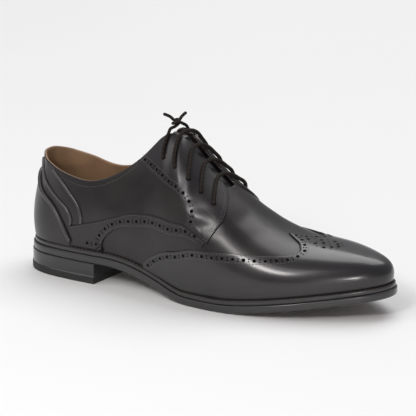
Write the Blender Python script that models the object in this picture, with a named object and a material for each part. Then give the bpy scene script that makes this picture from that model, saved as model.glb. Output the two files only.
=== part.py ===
"""A right derby shoe with a wing cap and brogued panel edges, standing empty on its heel and forefoot.

Metres, +Z up, toe towards +X, outer side towards -Y. Pieces are worked out with the back of the sole at x = 0
and the floor at z = 0, then moved together so that the origin lies under the middle of the shoe.
"""

import bmesh
import bpy
import numpy as np
from mathutils import Matrix

# Sole and heel
SOLE_LENGTH = 0.304
BALL_WIDTH = 0.105
WAIST_WIDTH = 0.068
HEEL_WIDTH = 0.067
HEEL_LENGTH = 0.0735
BREAST_SKEW = 0.0055
TOP_LIFT = 0.0055
HEEL_STACK = 0.0098
HEEL_FLARE = 0.0010
OUTSOLE = 0.0056
WELT = 0.0034
EDGE_ROUND = 0.0009
WELT_STEP = 0.0012
TOE_SPRING = 0.0165
FLAT_START = 0.154
FLAT_LENGTH = 0.026
ROCKER_ROUND = 0.15

# Upper
WELT_MARGIN = 0.0046
SEAT_MARGIN = 0.0030
BACK_HEIGHT = 0.0648
INSTEP_HEIGHT = 0.1060
TOE_HEIGHT = 0.0230
UPPER_WALL = 0.0020
PANEL = 0.0012
INSOLE_BOARD = 0.0030
TONGUE = 0.0022
LACE = 0.0024
GAP = 0.0003
PANEL_GAP = 0.0005

SEAT = TOP_LIFT + HEEL_STACK + 2 * GAP
EDGE = OUTSOLE + WELT + 2 * GAP

# Sole outline from heel to toe: share of the length, width that the row follows, outer and inner half widths
# as shares of that width, measured from the straight line between heel and toe
PLAN = (
    (0.000, "heel", -0.030, 0.030),
    (0.014, "heel", 0.230, 0.262),
    (0.050, "heel", 0.395, 0.425),
    (0.115, "heel", 0.487, 0.498),
    (0.200, "heel", 0.530, 0.480),
    (0.290, "waist", 0.545, 0.420),
    (0.375, "waist", 0.590, 0.395),
    (0.460, "ball", 0.432, 0.290),
    (0.545, "ball", 0.482, 0.362),
    (0.630, "ball", 0.497, 0.445),
    (0.715, "ball", 0.475, 0.490),
    (0.795, "ball", 0.415, 0.470),
    (0.870, "ball", 0.322, 0.387),
    (0.930, "ball", 0.228, 0.283),
    (0.972, "ball", 0.140, 0.185),
    (0.994, "ball", 0.058, 0.100),
    (1.000, "ball", -0.020, 0.020),
)
WIDTHS = {"heel": HEEL_WIDTH, "waist": WAIST_WIDTH, "ball": BALL_WIDTH}

# Underside of the sole between heel breast and forefoot: share of the way, share of the heel's height
SHANK = (
    (-0.10, 1.00), (0.00, 1.00), (0.15, 0.96), (0.30, 0.86),
    (0.50, 0.64), (0.70, 0.36), (0.86, 0.12), (1.00, 0.00),
    (1.10, 0.00),
)

# Height that a row of SECTIONS follows
HEIGHTS = {"back": BACK_HEIGHT, "instep": INSTEP_HEIGHT, "toe": TOE_HEIGHT}

# Top of each section of the upper: station of its foot as a share of the length, share of the length where
# its top lies, height that it follows, rise above the seat as a share of it, how far the middle lies to the
# outer side as a share of the ball width, half width as a share of the heel's, and the lean of the wall
# there, 0 for upright and 1 for level
CREST = (
    (0.000, 0.030, "back", 1.000, 0.000, 0.000, 0.10),
    (0.030, 0.040, "back", 0.985, 0.000, 0.160, 0.10),
    (0.080, 0.070, "back", 0.935, 0.005, 0.300, 0.10),
    (0.160, 0.135, "back", 0.850, 0.015, 0.390, 0.12),
    (0.260, 0.218, "back", 0.815, 0.030, 0.390, 0.20),
    (0.350, 0.303, "instep", 0.605, 0.042, 0.325, 0.38),
    (0.430, 0.372, "instep", 0.785, 0.048, 0.215, 0.62),
    (0.490, 0.414, "instep", 0.910, 0.048, 0.090, 0.88),
    (0.540, 0.450, "instep", 0.893, 0.048, 0.000, 1.00),
    (0.590, 0.497, "instep", 0.752, 0.048, 0.000, 1.00),
    (0.640, 0.555, "instep", 0.600, 0.048, 0.000, 1.00),
    (0.700, 0.628, "instep", 0.420, 0.048, 0.000, 1.00),
    (0.780, 0.712, "instep", 0.272, 0.045, 0.000, 1.00),
    (0.860, 0.792, "toe", 1.020, 0.030, 0.000, 1.00),
    (0.935, 0.865, "toe", 0.910, 0.012, 0.000, 1.00),
    (1.000, 0.900, "toe", 0.850, 0.005, 0.000, 1.00),
)

# Wall of each section: station, then for the outer and the inner side the outward lean at the foot, the pull
# of the foot and the pull of the top, as shares of the section's span
WALL = (
    (0.000, 0.18, 0.40, 0.38, 0.18, 0.40, 0.38),
    (0.080, 0.14, 0.40, 0.38, 0.14, 0.40, 0.38),
    (0.200, 0.14, 0.40, 0.36, 0.08, 0.40, 0.34),
    (0.340, 0.20, 0.38, 0.28, 0.02, 0.38, 0.24),
    (0.460, 0.28, 0.36, 0.24, 0.00, 0.34, 0.16),
    (0.560, 0.32, 0.34, 0.25, 0.00, 0.30, 0.11),
    (0.680, 0.34, 0.36, 0.36, 0.08, 0.34, 0.18),
    (0.800, 0.34, 0.42, 0.50, 0.24, 0.42, 0.40),
    (0.900, 0.30, 0.46, 0.52, 0.28, 0.48, 0.52),
    (1.000, 0.26, 0.50, 0.50, 0.26, 0.50, 0.50),
)

# Steps that find the ridge's direction, which starts at a place on the girth
BACK_STEP = 0.03
RIDGE_START = 0.3

# Shares of the length between which the welt's margin grows from the seat's to the forefoot's
MARGIN_CHANGE = (0.35, 0.60)

# Throat: where the facings end, as a station of the foot, the space that columns keep to it, and its width
THROAT = 0.655
THROAT_TURN = 0.006
THROAT_GAP = 0.018
RIM_STEP = 0.015

# Lower edge of the panels over the upper, as a share of the section
FOOT = 0.020

# Edge of the wing cap from the end of the wing to the peak on the ridge: station, share of the section
CAP_EDGE = (
    (0.380, 0.055), (0.415, 0.150), (0.468, 0.220), (0.531, 0.243),
    (0.580, 0.280), (0.640, 0.337), (0.710, 0.430),
    (0.765, 0.520), (0.806, 0.610), (0.824, 0.720), (0.822, 0.850), (0.806, 0.950), (0.792, 1.000),
)
WING_SLANT = 0.004
# Share of the cap's middle line that lies on the ridge, and how much closer its columns come at the toe
CAP_RIDGE_SHARE = 0.36
CAP_CROWDING = 1.25

# Edge of the counter from the back seam to its foot
COUNTER_EDGE = (
    (0.000, 0.780), (0.015, 0.745), (0.038, 0.657), (0.087, 0.543),
    (0.120, 0.417), (0.137, 0.257), (0.156, 0.020),
)
# Brogued rear edge of the facing, from the collar down to the band, and the derby edge in front of it
FACING_REAR = (
    (0.389, 0.990), (0.440, 0.770), (0.494, 0.603), (0.541, 0.505),
    (0.557, 0.465), (0.556, 0.420), (0.545, 0.385),
)
FACING_FRONT = (
    (0.648, 0.870), (0.657, 0.810), (0.659, 0.717), (0.652, 0.593), (0.632, 0.477), (0.603, 0.358),
)
# Band over the lower quarter: its upper and its lower edge, from the counter to the derby edge
BAND_TOP = (
    (0.158, 0.265), (0.175, 0.300), (0.240, 0.405), (0.316, 0.485),
    (0.353, 0.500), (0.418, 0.463), (0.523, 0.372),
    (0.596, 0.340),
)
BAND_FOOT = (
    (0.170, 0.020), (0.215, 0.020), (0.250, 0.022), (0.256, 0.120),
    (0.277, 0.243), (0.306, 0.330), (0.344, 0.367),
    (0.410, 0.367), (0.503, 0.315), (0.585, 0.303),
)
# Eyelets from the top down: station and share on the outer and on the inner side
EYELETS = (
    ((0.492, 0.760), (0.500, 0.760)),
    ((0.533, 0.660), (0.545, 0.690)),
    ((0.567, 0.640), (0.580, 0.680)),
    ((0.598, 0.640), (0.611, 0.680)),
    ((0.628, 0.640), (0.640, 0.680)),
)
# Distance along the girth and up the section that one unit stands for, as shares of the sole's length
EDGE_SCALE = (0.36, 0.08)

# Tongue: stations of its foot and top, reach to each side as a share of the section, and its tip: the way it
# runs on, and rows of share of the way and share of the width
TONGUE_FOOT = 0.720
TONGUE_TOP = 0.541
TONGUE_REACH = 0.200
TONGUE_CLEARANCE = 0.0012
TONGUE_TIP = (-0.010, 0.0, 0.0015)
TONGUE_TIP_ROWS = ((0.6, 0.72), (1.0, 0.45))

# Knot over the top bar, and the two lace ends: length, directions and droop
KNOT_HEIGHT = 0.0056
KNOT_LENGTH = 0.0085
KNOT_CLEARANCE = 0.0006
KNOT_WAY = (0.35, 0.0, 0.94)
LACE_END = 0.0130
END_OUTER = (-0.50, -0.55, 0.67)
END_INNER = (0.10, 0.80, 0.59)
END_DROOP = 0.10

# Facets, and the step between a cord's points in diameters
SOLE_COLUMNS = 64
HEEL_COLUMNS = 29
UPPER_COLUMNS = 84
UPPER_ROWS = 9
CAP_ACROSS = 26
CAP_DOWN = 13
FACING_ACROSS = 11
FACING_DOWN = 13
BAND_ACROSS = 23
BAND_DOWN = 4
TONGUE_ROWS = 9
TONGUE_ACROSS = 6
COUNTER_ACROSS = 21
COUNTER_DOWN = 6
CORD_STEP = 2.0


class Track:
    """A smooth curve through rows: round (its curvature runs on) or steady (it never overshoots)."""

    def __init__(self, knots, values, kind, period=None):
        self.knots = np.asarray(knots, float)
        self.values = np.asarray(values, float).reshape(len(self.knots), -1)
        self.period = period
        if period:
            self.knots = np.append(self.knots, self.knots[0] + period)
            self.values = np.vstack([self.values, self.values[:1]])
        self.steps = np.diff(self.knots)[:, None]
        self.rises = np.diff(self.values, axis=0) / self.steps
        self.slopes = self.round() if kind == "round" else self.steady()

    def round(self):
        """Slopes that keep the curvature the same on both sides of every row."""
        count = len(self.steps) if self.period else len(self.steps) + 1
        system = np.zeros((count, count))
        right = np.zeros((count, self.values.shape[1]))
        for i in range(len(self.steps)):
            following = (i + 1) % count
            weight = 1 / self.steps[i, 0]
            system[[i, following], [i, following]] += 2 * weight
            system[[i, following], [following, i]] += weight
            right[[i, following]] += 3 * weight * self.rises[i]
        slopes = np.linalg.solve(system, right)
        return np.vstack([slopes, slopes[:1]]) if self.period else slopes

    def steady(self):
        """Slopes that keep the curve between its rows, level where it turns."""
        first, last = (self.rises[-1:], self.rises[:1]) if self.period else (self.rises[:1], self.rises[-1:])
        before = np.vstack([first, self.rises])
        after = np.vstack([self.rises, last])
        same = before * after > 0
        total = np.where(same, before + after, 1.0)
        return np.where(same, 2 * before * after / total, 0.0)

    def __call__(self, at):
        at = np.asarray(at, float)
        if self.period:
            at = (at - self.knots[0]) % self.period + self.knots[0]
        at = np.clip(at, self.knots[0], self.knots[-1])
        i = np.clip(np.searchsorted(self.knots, at, side="right") - 1, 0, len(self.steps) - 1)
        step = self.steps[i]
        t = ((at - self.knots[i]) / step[..., 0])[..., None]
        low, high = self.values[i], self.values[i + 1]
        start, end = self.slopes[i] * step, self.slopes[i + 1] * step
        bend = 3 * (high - low) - 2 * start - end + t * (2 * (low - high) + start + end)
        curve = low + t * (start + t * bend)
        return curve[..., 0] if curve.shape[-1] == 1 else curve


def closed_track(around, outer, inner, kind):
    """Closed curve over the girth, from toe along the outer side to the heel and back along the inner."""
    outer, inner = np.asarray(outer, float), np.asarray(inner, float)
    knots = np.concatenate([-np.asarray(around)[:0:-1], np.asarray(around)[:-1]])
    values = np.concatenate([outer[:0:-1], inner[:-1]])
    return Track(knots, values, kind, period=2.0)


def plan_track():
    """Outline of the sole over the girth, which runs from 0 at the heel to 1 at the toe on each side."""
    stations = np.array([row[0] for row in PLAN]) * SOLE_LENGTH
    widths = np.array([WIDTHS[row[1]] for row in PLAN])
    outer = np.column_stack([stations, -widths * [row[2] for row in PLAN]])
    inner = np.column_stack([stations, widths * [row[3] for row in PLAN]])
    walk = sum(np.linalg.norm(np.diff(side, axis=0), axis=1) for side in (outer, inner)) / 2
    around = np.concatenate([[0.0], np.cumsum(walk)]) / walk.sum()
    return closed_track(around, outer, inner, "round")


OUTLINE = plan_track()
DENSE = np.linspace(0.0, 1.0, 401)
DENSE_STATION = OUTLINE(DENSE)[:, 0] / SOLE_LENGTH


def girth(station):
    """Place round the girth of a station given as a share of the length."""
    return np.interp(station, DENSE_STATION, DENSE)


def outward(w):
    """Level direction that points out of the outline."""
    step = 1e-3
    along = OUTLINE(np.asarray(w) + step) - OUTLINE(np.asarray(w) - step)
    along = along / np.linalg.norm(along, axis=-1, keepdims=True)
    return np.stack([-along[..., 1], along[..., 0]], axis=-1)


def sole_lift(x):
    """Height of the sole's underside over the floor: heel seat, shank, flat forefoot and toe spring."""
    x = np.asarray(x, float)
    breast = HEEL_LENGTH + BREAST_SKEW
    shares = np.asarray(SHANK)
    shank = Track(shares[:, 0], shares[:, 1], "steady")
    flat_end = FLAT_START + FLAT_LENGTH
    fall = SEAT * shank(np.clip((x - breast) / (FLAT_START - breast), 0.0, 1.0))
    s = np.clip((x - flat_end) / (SOLE_LENGTH - flat_end), 0.0, None)
    rise = (np.sqrt(s**2 + ROCKER_ROUND**2) - ROCKER_ROUND) / (np.sqrt(1 + ROCKER_ROUND**2) - ROCKER_ROUND)
    return fall + TOE_SPRING * rise


def ease(x, start, end):
    """0 before start, 1 after end, smooth between."""
    t = np.clip((np.asarray(x, float) - start) / (end - start), 0.0, 1.0)
    return t * t * (3 - 2 * t)


def margin(w):
    """How far the welt stands out from the upper."""
    share = OUTLINE(w)[..., 0] / SOLE_LENGTH
    return SEAT_MARGIN + (WELT_MARGIN - SEAT_MARGIN) * ease(share, *MARGIN_CHANGE)


def outline_at(w, inset):
    """Level points of the outline, moved inwards."""
    return OUTLINE(w) - outward(w) * np.asarray(inset)[..., None]


def standing(points, rise):
    """Level points lifted to a height over the sole's underside."""
    return np.concatenate([points, (sole_lift(points[..., 0]) + rise)[..., None]], axis=-1)


def feather(w, inset=0.0):
    """Foot of the upper, on the welt."""
    return standing(outline_at(w, margin(w) + inset), EDGE + GAP)


def crest_tracks():
    """Top of the sections, with the wall's lean there."""
    around = girth(np.array([row[0] for row in CREST]))
    x = np.array([row[1] for row in CREST]) * SOLE_LENGTH
    z = SEAT + EDGE + np.array([HEIGHTS[row[2]] * row[3] for row in CREST])
    middle = np.array([row[4] for row in CREST]) * BALL_WIDTH
    half = np.array([row[5] for row in CREST]) * HEEL_WIDTH
    lean = np.array([row[6] for row in CREST])
    centre = np.column_stack([x, -middle, z])
    path = closed_track(around, centre, centre, "round")
    side = closed_track(around, -half, half, "steady")
    return path, side, closed_track(around, lean, lean, "steady")


def wall_track():
    """Lean and pulls of the wall."""
    rows = np.asarray(WALL)
    return closed_track(girth(rows[:, 0]), rows[:, 1:4], rows[:, 4:7], "round")


CREST_PATH, CREST_SIDE, CREST_LEAN = crest_tracks()
WALL_TRACK = wall_track()


def ridge_way(w):
    """Direction of the ridge towards the toe."""
    front = np.maximum(np.abs(w), RIDGE_START)
    way = CREST_PATH(front) - CREST_PATH(front - BACK_STEP)
    return way / np.linalg.norm(way, axis=-1, keepdims=True)


def upper_point(w, v):
    """Point of the last's skin: w round the girth, v from the foot at 0 to the top of the section at 1."""
    w, v = np.broadcast_arrays(np.asarray(w, float), np.asarray(v, float))
    foot = feather(w)
    path = CREST_PATH(w)
    top = path + CREST_SIDE(w)[..., None] * np.array([0.0, 1.0, 0.0])
    lean, foot_pull, top_pull = np.moveaxis(WALL_TRACK(w), -1, 0)
    out = outward(w)
    level = np.concatenate([out, np.zeros_like(out[..., :1])], axis=-1)
    up = np.array([0.0, 0.0, 1.0])
    away = up * np.sqrt(1 - lean**2)[..., None] + level * lean[..., None]
    ridge = ridge_way(w)
    flat = CREST_LEAN(w)
    over = ridge * out[..., :1] + np.array([0.0, 1.0, 0.0]) * out[..., 1:]
    rim = over * flat[..., None] - up * np.sqrt(np.clip(1 - flat**2, 0.0, 1.0))[..., None]
    span = np.linalg.norm(top - foot, axis=-1)
    near = foot + away * (foot_pull * span)[..., None]
    far = top + rim * (top_pull * span)[..., None]
    v = v[..., None]
    return (1 - v)**3 * foot + 3 * (1 - v)**2 * v * near + 3 * (1 - v) * v**2 * far + v**3 * top


def skin(w, v, lift):
    """Point at a height over the last's skin, along its outward direction."""
    w, v = np.broadcast_arrays(np.asarray(w, float), np.asarray(v, float))
    step = 1e-3
    below = np.minimum(v, 1 - 12 * step)
    around = upper_point(w + step, below) - upper_point(w - step, below)
    up = upper_point(w, below + step) - upper_point(w, below - step)
    out = np.cross(up, around)
    on_ridge = (v > 1 - step) & (CREST_SIDE(w) == 0)
    way = ridge_way(w)
    level = np.stack([-way[..., 2], np.zeros(w.shape), way[..., 0]], axis=-1)
    out = np.where(on_ridge[..., None], level, out)
    out = out / np.linalg.norm(out, axis=-1, keepdims=True)
    return upper_point(w, v) + out * np.asarray(lift, float)[..., None]


def columns(count, crowding=0.15):
    """Places round the girth, closer together at heel and toe."""
    s = -1 + 2 * np.arange(count) / count
    return s - crowding * np.sin(2 * np.pi * s) / (2 * np.pi)


def throat_rim(w):
    """Share of the section where the upper ends: its top, the facing's edge, the ridge past the throat."""
    w = np.abs(np.asarray(w, float))
    v = np.linspace(0.6, 1.0, 161)
    rim = np.ones(w.shape)
    for i, place in enumerate(w):
        side = abs(CREST_SIDE(place))
        if RIDGE_START < place < girth(THROAT) - 1e-9 and side < THROAT_GAP / 2:
            points = upper_point(-place, v)
            reach = CREST_PATH(place)[1] - points[:, 1]
            rim[i] = np.interp(-THROAT_GAP / 2, -reach, v)
    return rim


def material(name, colour, roughness):
    """Principled material of one finish."""
    made = bpy.data.materials.new(name)
    made.use_nodes = True
    shader = made.node_tree.nodes["Principled BSDF"]
    shader.inputs["Base Color"].default_value = (*colour, 1.0)
    shader.inputs["Roughness"].default_value = roughness
    shader.inputs["Metallic"].default_value = 0.0
    made.diffuse_color = (*colour, 1.0)
    return made


FINISHES = {
    "black_leather": ((0.018, 0.017, 0.017), 0.28),
    "lining_leather": ((0.36, 0.21, 0.11), 0.55),
    "sole_leather": ((0.030, 0.027, 0.025), 0.35),
    "rubber": ((0.020, 0.020, 0.020), 0.60),
    "lace_cord": ((0.022, 0.016, 0.013), 0.60),
}


def add_piece(name, points, faces, finish):
    """Closed piece from points and faces, its doubles merged and its faces turned outwards."""
    mesh = bpy.data.meshes.new(name)
    form = bmesh.new()
    made = [form.verts.new(point) for point in points]
    for face in faces:
        form.faces.new([made[i] for i in face])
    bmesh.ops.remove_doubles(form, verts=form.verts, dist=1e-6)
    bmesh.ops.dissolve_degenerate(form, edges=form.edges, dist=1e-7)
    bmesh.ops.recalc_face_normals(form, faces=form.faces)
    form.to_mesh(mesh)
    form.free()
    mesh.shade_smooth()
    mesh.set_sharp_from_angle(angle=np.radians(35))
    colour, roughness = FINISHES[finish]
    mesh.materials.append(bpy.data.materials.get(finish) or material(finish, colour, roughness))
    piece = bpy.data.objects.new(name, mesh)
    bpy.context.scene.collection.objects.link(piece)
    return piece


def add_stack(name, loops, finish):
    """Solid between loops of the sole's own columns, capped across from the outer to the inner side."""
    count = len(loops[0])
    points = np.concatenate(loops)
    faces = []
    for level in range(len(loops) - 1):
        for j in range(count):
            k = (j + 1) % count
            faces.append([level * count + i for i in (j, k, count + k, count + j)])
    for base in (0, (len(loops) - 1) * count):
        for j in range(count // 2):
            ends = [j, j + 1, (count - j - 1) % count, (count - j) % count]
            faces.append([base + i for i in dict.fromkeys(ends)])
    return add_piece(name, points, faces, finish)


def add_ring(name, loops, finish):
    """Closed ring through loops that follow each other round its section."""
    count = len(loops[0])
    faces = []
    for level in range(len(loops)):
        nearer = (level + 1) % len(loops)
        for j in range(count):
            k = (j + 1) % count
            low, high = level * count, nearer * count
            faces.append([low + j, low + k, high + k, high + j])
    return add_piece(name, np.concatenate(loops), faces, finish)


def add_slab(name, outlines, finish):
    """Solid between level outlines, each a closed convex loop."""
    count = len(outlines[0])
    faces = [list(range(count)), list(range((len(outlines) - 1) * count, len(outlines) * count))]
    for level in range(len(outlines) - 1):
        for j in range(count):
            k = (j + 1) % count
            faces.append([level * count + i for i in (j, k, count + k, count + j)])
    return add_piece(name, np.concatenate(outlines), faces, finish)


def add_sheet(name, outer, inner, finish, ring=False, joined=None):
    """Leather between an outer and an inner grid. A ring closes on itself; joined columns share their top."""
    across, up = outer.shape[:2]
    joined = np.zeros(across, bool) if joined is None else joined
    points = np.concatenate([outer.reshape(-1, 3), inner.reshape(-1, 3)])
    faces = []

    def at(i, j, side):
        return side * across * up + (i % across) * up + j

    for i in range(across if ring else across - 1):
        for j in range(up - 1):
            faces.append([at(i, j, 0), at(i + 1, j, 0), at(i + 1, j + 1, 0), at(i, j + 1, 0)])
            faces.append([at(i, j, 1), at(i, j + 1, 1), at(i + 1, j + 1, 1), at(i + 1, j, 1)])
        faces.append([at(i, 0, 0), at(i, 0, 1), at(i + 1, 0, 1), at(i + 1, 0, 0)])
        if not (joined[i] and joined[(i + 1) % across]):
            top = up - 1
            faces.append([at(i, top, 0), at(i + 1, top, 0), at(i + 1, top, 1), at(i, top, 1)])
    if not ring:
        for i in (0, across - 1):
            for j in range(up - 1):
                faces.append([at(i, j, 0), at(i, j + 1, 0), at(i, j + 1, 1), at(i, j, 1)])
    return add_piece(name, points, faces, finish)


def breast(side):
    """Place round the girth where the heel's breast line meets the outline."""
    w = side * girth(np.linspace(0.1, 0.4, 801))
    points = OUTLINE(w)
    line = HEEL_LENGTH + BREAST_SKEW * points[:, 1] / HEEL_WIDTH
    return w[np.argmax(points[:, 0] > line)]


def add_heel():
    """Top lift and stacked block under the heel seat."""
    ends = breast(-1), breast(1)
    w = np.linspace(*ends, HEEL_COLUMNS)

    def outline(inset, height):
        points = outline_at(w, np.full(len(w), inset))
        points[[0, -1]] = OUTLINE(w[[0, -1]]) - outward(w[[0, -1]]) * [0, inset]
        return np.column_stack([points, np.full(len(w), height)])

    lift_top = TOP_LIFT
    low = lift_top + GAP
    high = low + HEEL_STACK
    flare = -HEEL_FLARE
    add_slab("top_lift", [outline(flare + EDGE_ROUND / 2, 0.0), outline(flare, EDGE_ROUND),
                          outline(flare, lift_top)], "rubber")
    add_slab("heel_block", [outline(flare, low), outline(flare / 2, (low + high) / 2), outline(0.0, high)],
             "sole_leather")


def add_sole():
    """Outsole with a rounded lower edge, the welt round its rim, and the insole inside the upper."""
    w = columns(SOLE_COLUMNS)
    plain = np.zeros(len(w))
    add_stack("outsole", [
        standing(outline_at(w, plain + EDGE_ROUND), 0.0),
        standing(outline_at(w, plain), EDGE_ROUND),
        standing(outline_at(w, plain), OUTSOLE - EDGE_ROUND / 2),
        standing(outline_at(w, plain + EDGE_ROUND / 2), OUTSOLE),
    ], "sole_leather")
    low = OUTSOLE + GAP
    high = low + WELT
    inner = margin(w) + UPPER_WALL
    add_ring("welt", [
        standing(outline_at(w, plain + WELT_STEP), low),
        standing(outline_at(w, plain + WELT_STEP), high - EDGE_ROUND / 2),
        standing(outline_at(w, plain + WELT_STEP + EDGE_ROUND), high),
        standing(outline_at(w, inner), high),
        standing(outline_at(w, inner), low),
    ], "sole_leather")
    inside = inner + 2 * GAP
    add_stack("insole", [
        standing(outline_at(w, inside), low),
        standing(outline_at(w, inside), high + INSOLE_BOARD - EDGE_ROUND),
        standing(outline_at(w, inside + EDGE_ROUND), high + INSOLE_BOARD),
    ], "lining_leather")


def add_upper():
    """The hollow last-shaped wall, open at collar and throat and underneath."""
    throat = girth(THROAT)
    w = columns(UPPER_COLUMNS)
    edges = np.array([-throat, -throat + THROAT_TURN, throat - THROAT_TURN, throat])
    keep = np.min(np.abs(w[:, None] - edges), axis=1) > THROAT_TURN
    w = np.sort(np.concatenate([w[keep], edges]))
    rim = throat_rim(w)
    grid_w = np.repeat(w[:, None], UPPER_ROWS + 1, axis=1)
    grid_v = rim[:, None] * np.linspace(0.0, 1.0, UPPER_ROWS + 1)
    outer = skin(grid_w, grid_v, np.zeros(grid_w.shape))
    inner = skin(grid_w, grid_v, np.full(grid_w.shape, -UPPER_WALL))
    outer[:, 0] = feather(w)
    inner[:, 0] = np.column_stack([outline_at(w, margin(w) + UPPER_WALL), outer[:, 0, 2]])
    joined = np.abs(w) >= throat - 1e-9
    return add_sheet("upper", outer, inner, "black_leather", ring=True, joined=joined)


def edge_track(rows):
    """Curve over the skin through rows of station and share of the section, spaced by distance."""
    rows = np.array([(girth(station), share) for station, share in rows])
    walk = np.linalg.norm(np.diff(rows, axis=0) * np.array(EDGE_SCALE), axis=1)
    return Track(np.concatenate([[0.0], np.cumsum(walk)]) / walk.sum(), rows, "steady")


def patch(top, foot, start, end, s, t):
    """Places on the skin inside four edges: top and foot run from start to end."""
    top, foot, start, end = top(s)[:, None], foot(s)[:, None], start(t)[None], end(t)[None]
    s, t = s[:, None, None], t[None, :, None]
    straight = (1 - t) * top + t * foot
    left = start - ((1 - t) * top[:1] + t * foot[:1])
    right = end - ((1 - t) * top[-1:] + t * foot[-1:])
    return straight + (1 - s)**2 * left + s**2 * right


def add_panel(name, w, v):
    """Panel of leather over the skin."""
    outer = skin(w, v, np.full(w.shape, PANEL_GAP + PANEL))
    inner = skin(w, v, np.full(w.shape, PANEL_GAP))
    return add_sheet(name, outer, inner, "black_leather")


def add_toe_cap():
    """Wing cap over the toe, both sides in one piece that meets along the ridge and the middle of the toe."""
    wing, peak = CAP_EDGE[0], CAP_EDGE[-1]
    foot_rows = [(wing[0] - WING_SLANT, FOOT), (0.5, FOOT), (0.7, FOOT), (0.9, FOOT), (1.0, FOOT)]
    tip = Track([0.0, CAP_RIDGE_SHARE, 1.0], [(girth(peak[0]), 1.0), (1.0, 1.0), (1.0, FOOT)], "steady")
    s = 1 - (1 - np.linspace(0.0, 1.0, CAP_ACROSS))**CAP_CROWDING
    t = np.linspace(0.0, 1.0, CAP_DOWN)
    half = patch(edge_track(CAP_EDGE), edge_track(foot_rows), edge_track([wing, foot_rows[0]]), tip, s, t)
    w = np.concatenate([-half[..., 0], half[-2::-1, :, 0]])
    v = np.concatenate([half[..., 1], half[-2::-1, :, 1]])
    return add_panel("toe_cap", w, v)


def add_counter():
    """Heel counter panel round the back."""
    edge = np.asarray(COUNTER_EDGE)
    around = girth(edge[:, 0])
    rows = np.append(edge[:, 1], FOOT)
    height = closed_track(np.append(around, 1.0), rows, rows, "steady")
    w = np.linspace(-around[-1], around[-1], COUNTER_ACROSS)
    t = np.linspace(0.0, 1.0, COUNTER_DOWN)
    v = FOOT + (height(w)[:, None] - FOOT) * t
    w = np.repeat(w[:, None], COUNTER_DOWN, axis=1)
    return add_panel("counter", w, v)


def rim_rows(first, last, count):
    """Rows along the upper's rim, held back from its edge."""
    stations = np.linspace(first, last, count)
    return [(station, rim - RIM_STEP) for station, rim in zip(stations, throat_rim(girth(stations)))]


def add_facings():
    """Derby facings on both sides of the throat, from the collar down to the band."""
    rear, front, rim = FACING_REAR, FACING_FRONT, rim_rows(FACING_REAR[0][0], FACING_FRONT[0][0], 9)
    for side, name in ((-1, "facing_lateral"), (1, "facing_medial")):
        top = edge_track(rim)
        foot = edge_track([rear[-1], front[-1]])
        start = edge_track([rim[0], *rear[1:]])
        end = edge_track([rim[-1], *front[1:]])
        grid = patch(top, foot, start, end, np.linspace(0, 1, FACING_ACROSS), np.linspace(0, 1, FACING_DOWN))
        add_panel(name, side * grid[..., 0], grid[..., 1])


def add_bands():
    """Brogued strips along the lower quarters, from the counter up over the waist to the facing's corner."""
    for side, name in ((-1, "band_lateral"), (1, "band_medial")):
        top, foot = edge_track(BAND_TOP), edge_track(BAND_FOOT)
        start, end = edge_track([BAND_TOP[0], BAND_FOOT[0]]), edge_track([BAND_TOP[-1], BAND_FOOT[-1]])
        grid = patch(top, foot, start, end, np.linspace(0, 1, BAND_ACROSS), np.linspace(0, 1, BAND_DOWN))
        add_panel(name, side * grid[..., 0], grid[..., 1])


def add_tongue():
    """Tongue under the facings, carried on from the vamp over the ridge."""
    stations = np.linspace(TONGUE_FOOT, TONGUE_TOP, TONGUE_ROWS)
    across = np.concatenate([np.linspace(-1, 0, TONGUE_ACROSS), np.linspace(0, 1, TONGUE_ACROSS)[1:]])
    w = girth(stations)[:, None] * np.where(across < 0, -1.0, 1.0)
    v = 1 - TONGUE_REACH * np.abs(across)[None] * np.ones((len(stations), 1))
    under = UPPER_WALL + TONGUE_CLEARANCE
    sheets = []
    for depth in (under, under + TONGUE):
        grid = skin(w, v, np.full(v.shape, -depth))
        last = grid[-1]
        middle = last[TONGUE_ACROSS - 1]
        tips = [
            middle + (last - middle) * np.array([1.0, width, 1.0]) + np.array(TONGUE_TIP) * share
            for share, width in TONGUE_TIP_ROWS
        ]
        sheets.append(np.concatenate([grid, tips]))
    return add_sheet("tongue", *sheets, "black_leather")


def cord_path(points):
    """Smooth curve through the points of a cord, read at even steps of a few diameters."""
    points = np.asarray(points, float)
    walk = np.concatenate([[0.0], np.cumsum(np.linalg.norm(np.diff(points, axis=0), axis=1))])
    count = 2 * max(2, int(walk[-1] / (2 * CORD_STEP * LACE))) + 1
    return Track(walk, points, "round")(np.linspace(0.0, walk[-1], count))


def add_cord(name, points):
    """Round cord along a smooth curve through its points."""
    route = cord_path(points)
    curve = bpy.data.curves.new(name, "CURVE")
    curve.dimensions = "3D"
    curve.bevel_depth = LACE / 2
    curve.bevel_resolution = 2
    curve.use_fill_caps = True
    line = curve.splines.new("POLY")
    line.points.add(len(route) - 1)
    for point, place in zip(line.points, route):
        point.co = (*place, 1.0)
    colour, roughness = FINISHES["lace_cord"]
    curve.materials.append(bpy.data.materials.get("lace_cord") or material("lace_cord", colour, roughness))
    piece = bpy.data.objects.new(name, curve)
    bpy.context.scene.collection.objects.link(piece)
    return piece


def lace_route(outer, inner):
    """Line of a lace bar over both facings, from one eyelet to the other."""
    lift = PANEL_GAP + PANEL + GAP + LACE / 2
    route = []
    for side, (station, share) in ((-1, outer), (1, inner)):
        w = girth(station)
        rim = throat_rim([w])[0]
        shares = np.linspace(share, rim - RIM_STEP, 3)
        points = skin(np.full(3, side * w), shares, np.full(3, lift))
        route.append(points if side < 0 else points[::-1])
    return np.concatenate(route)


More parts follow.
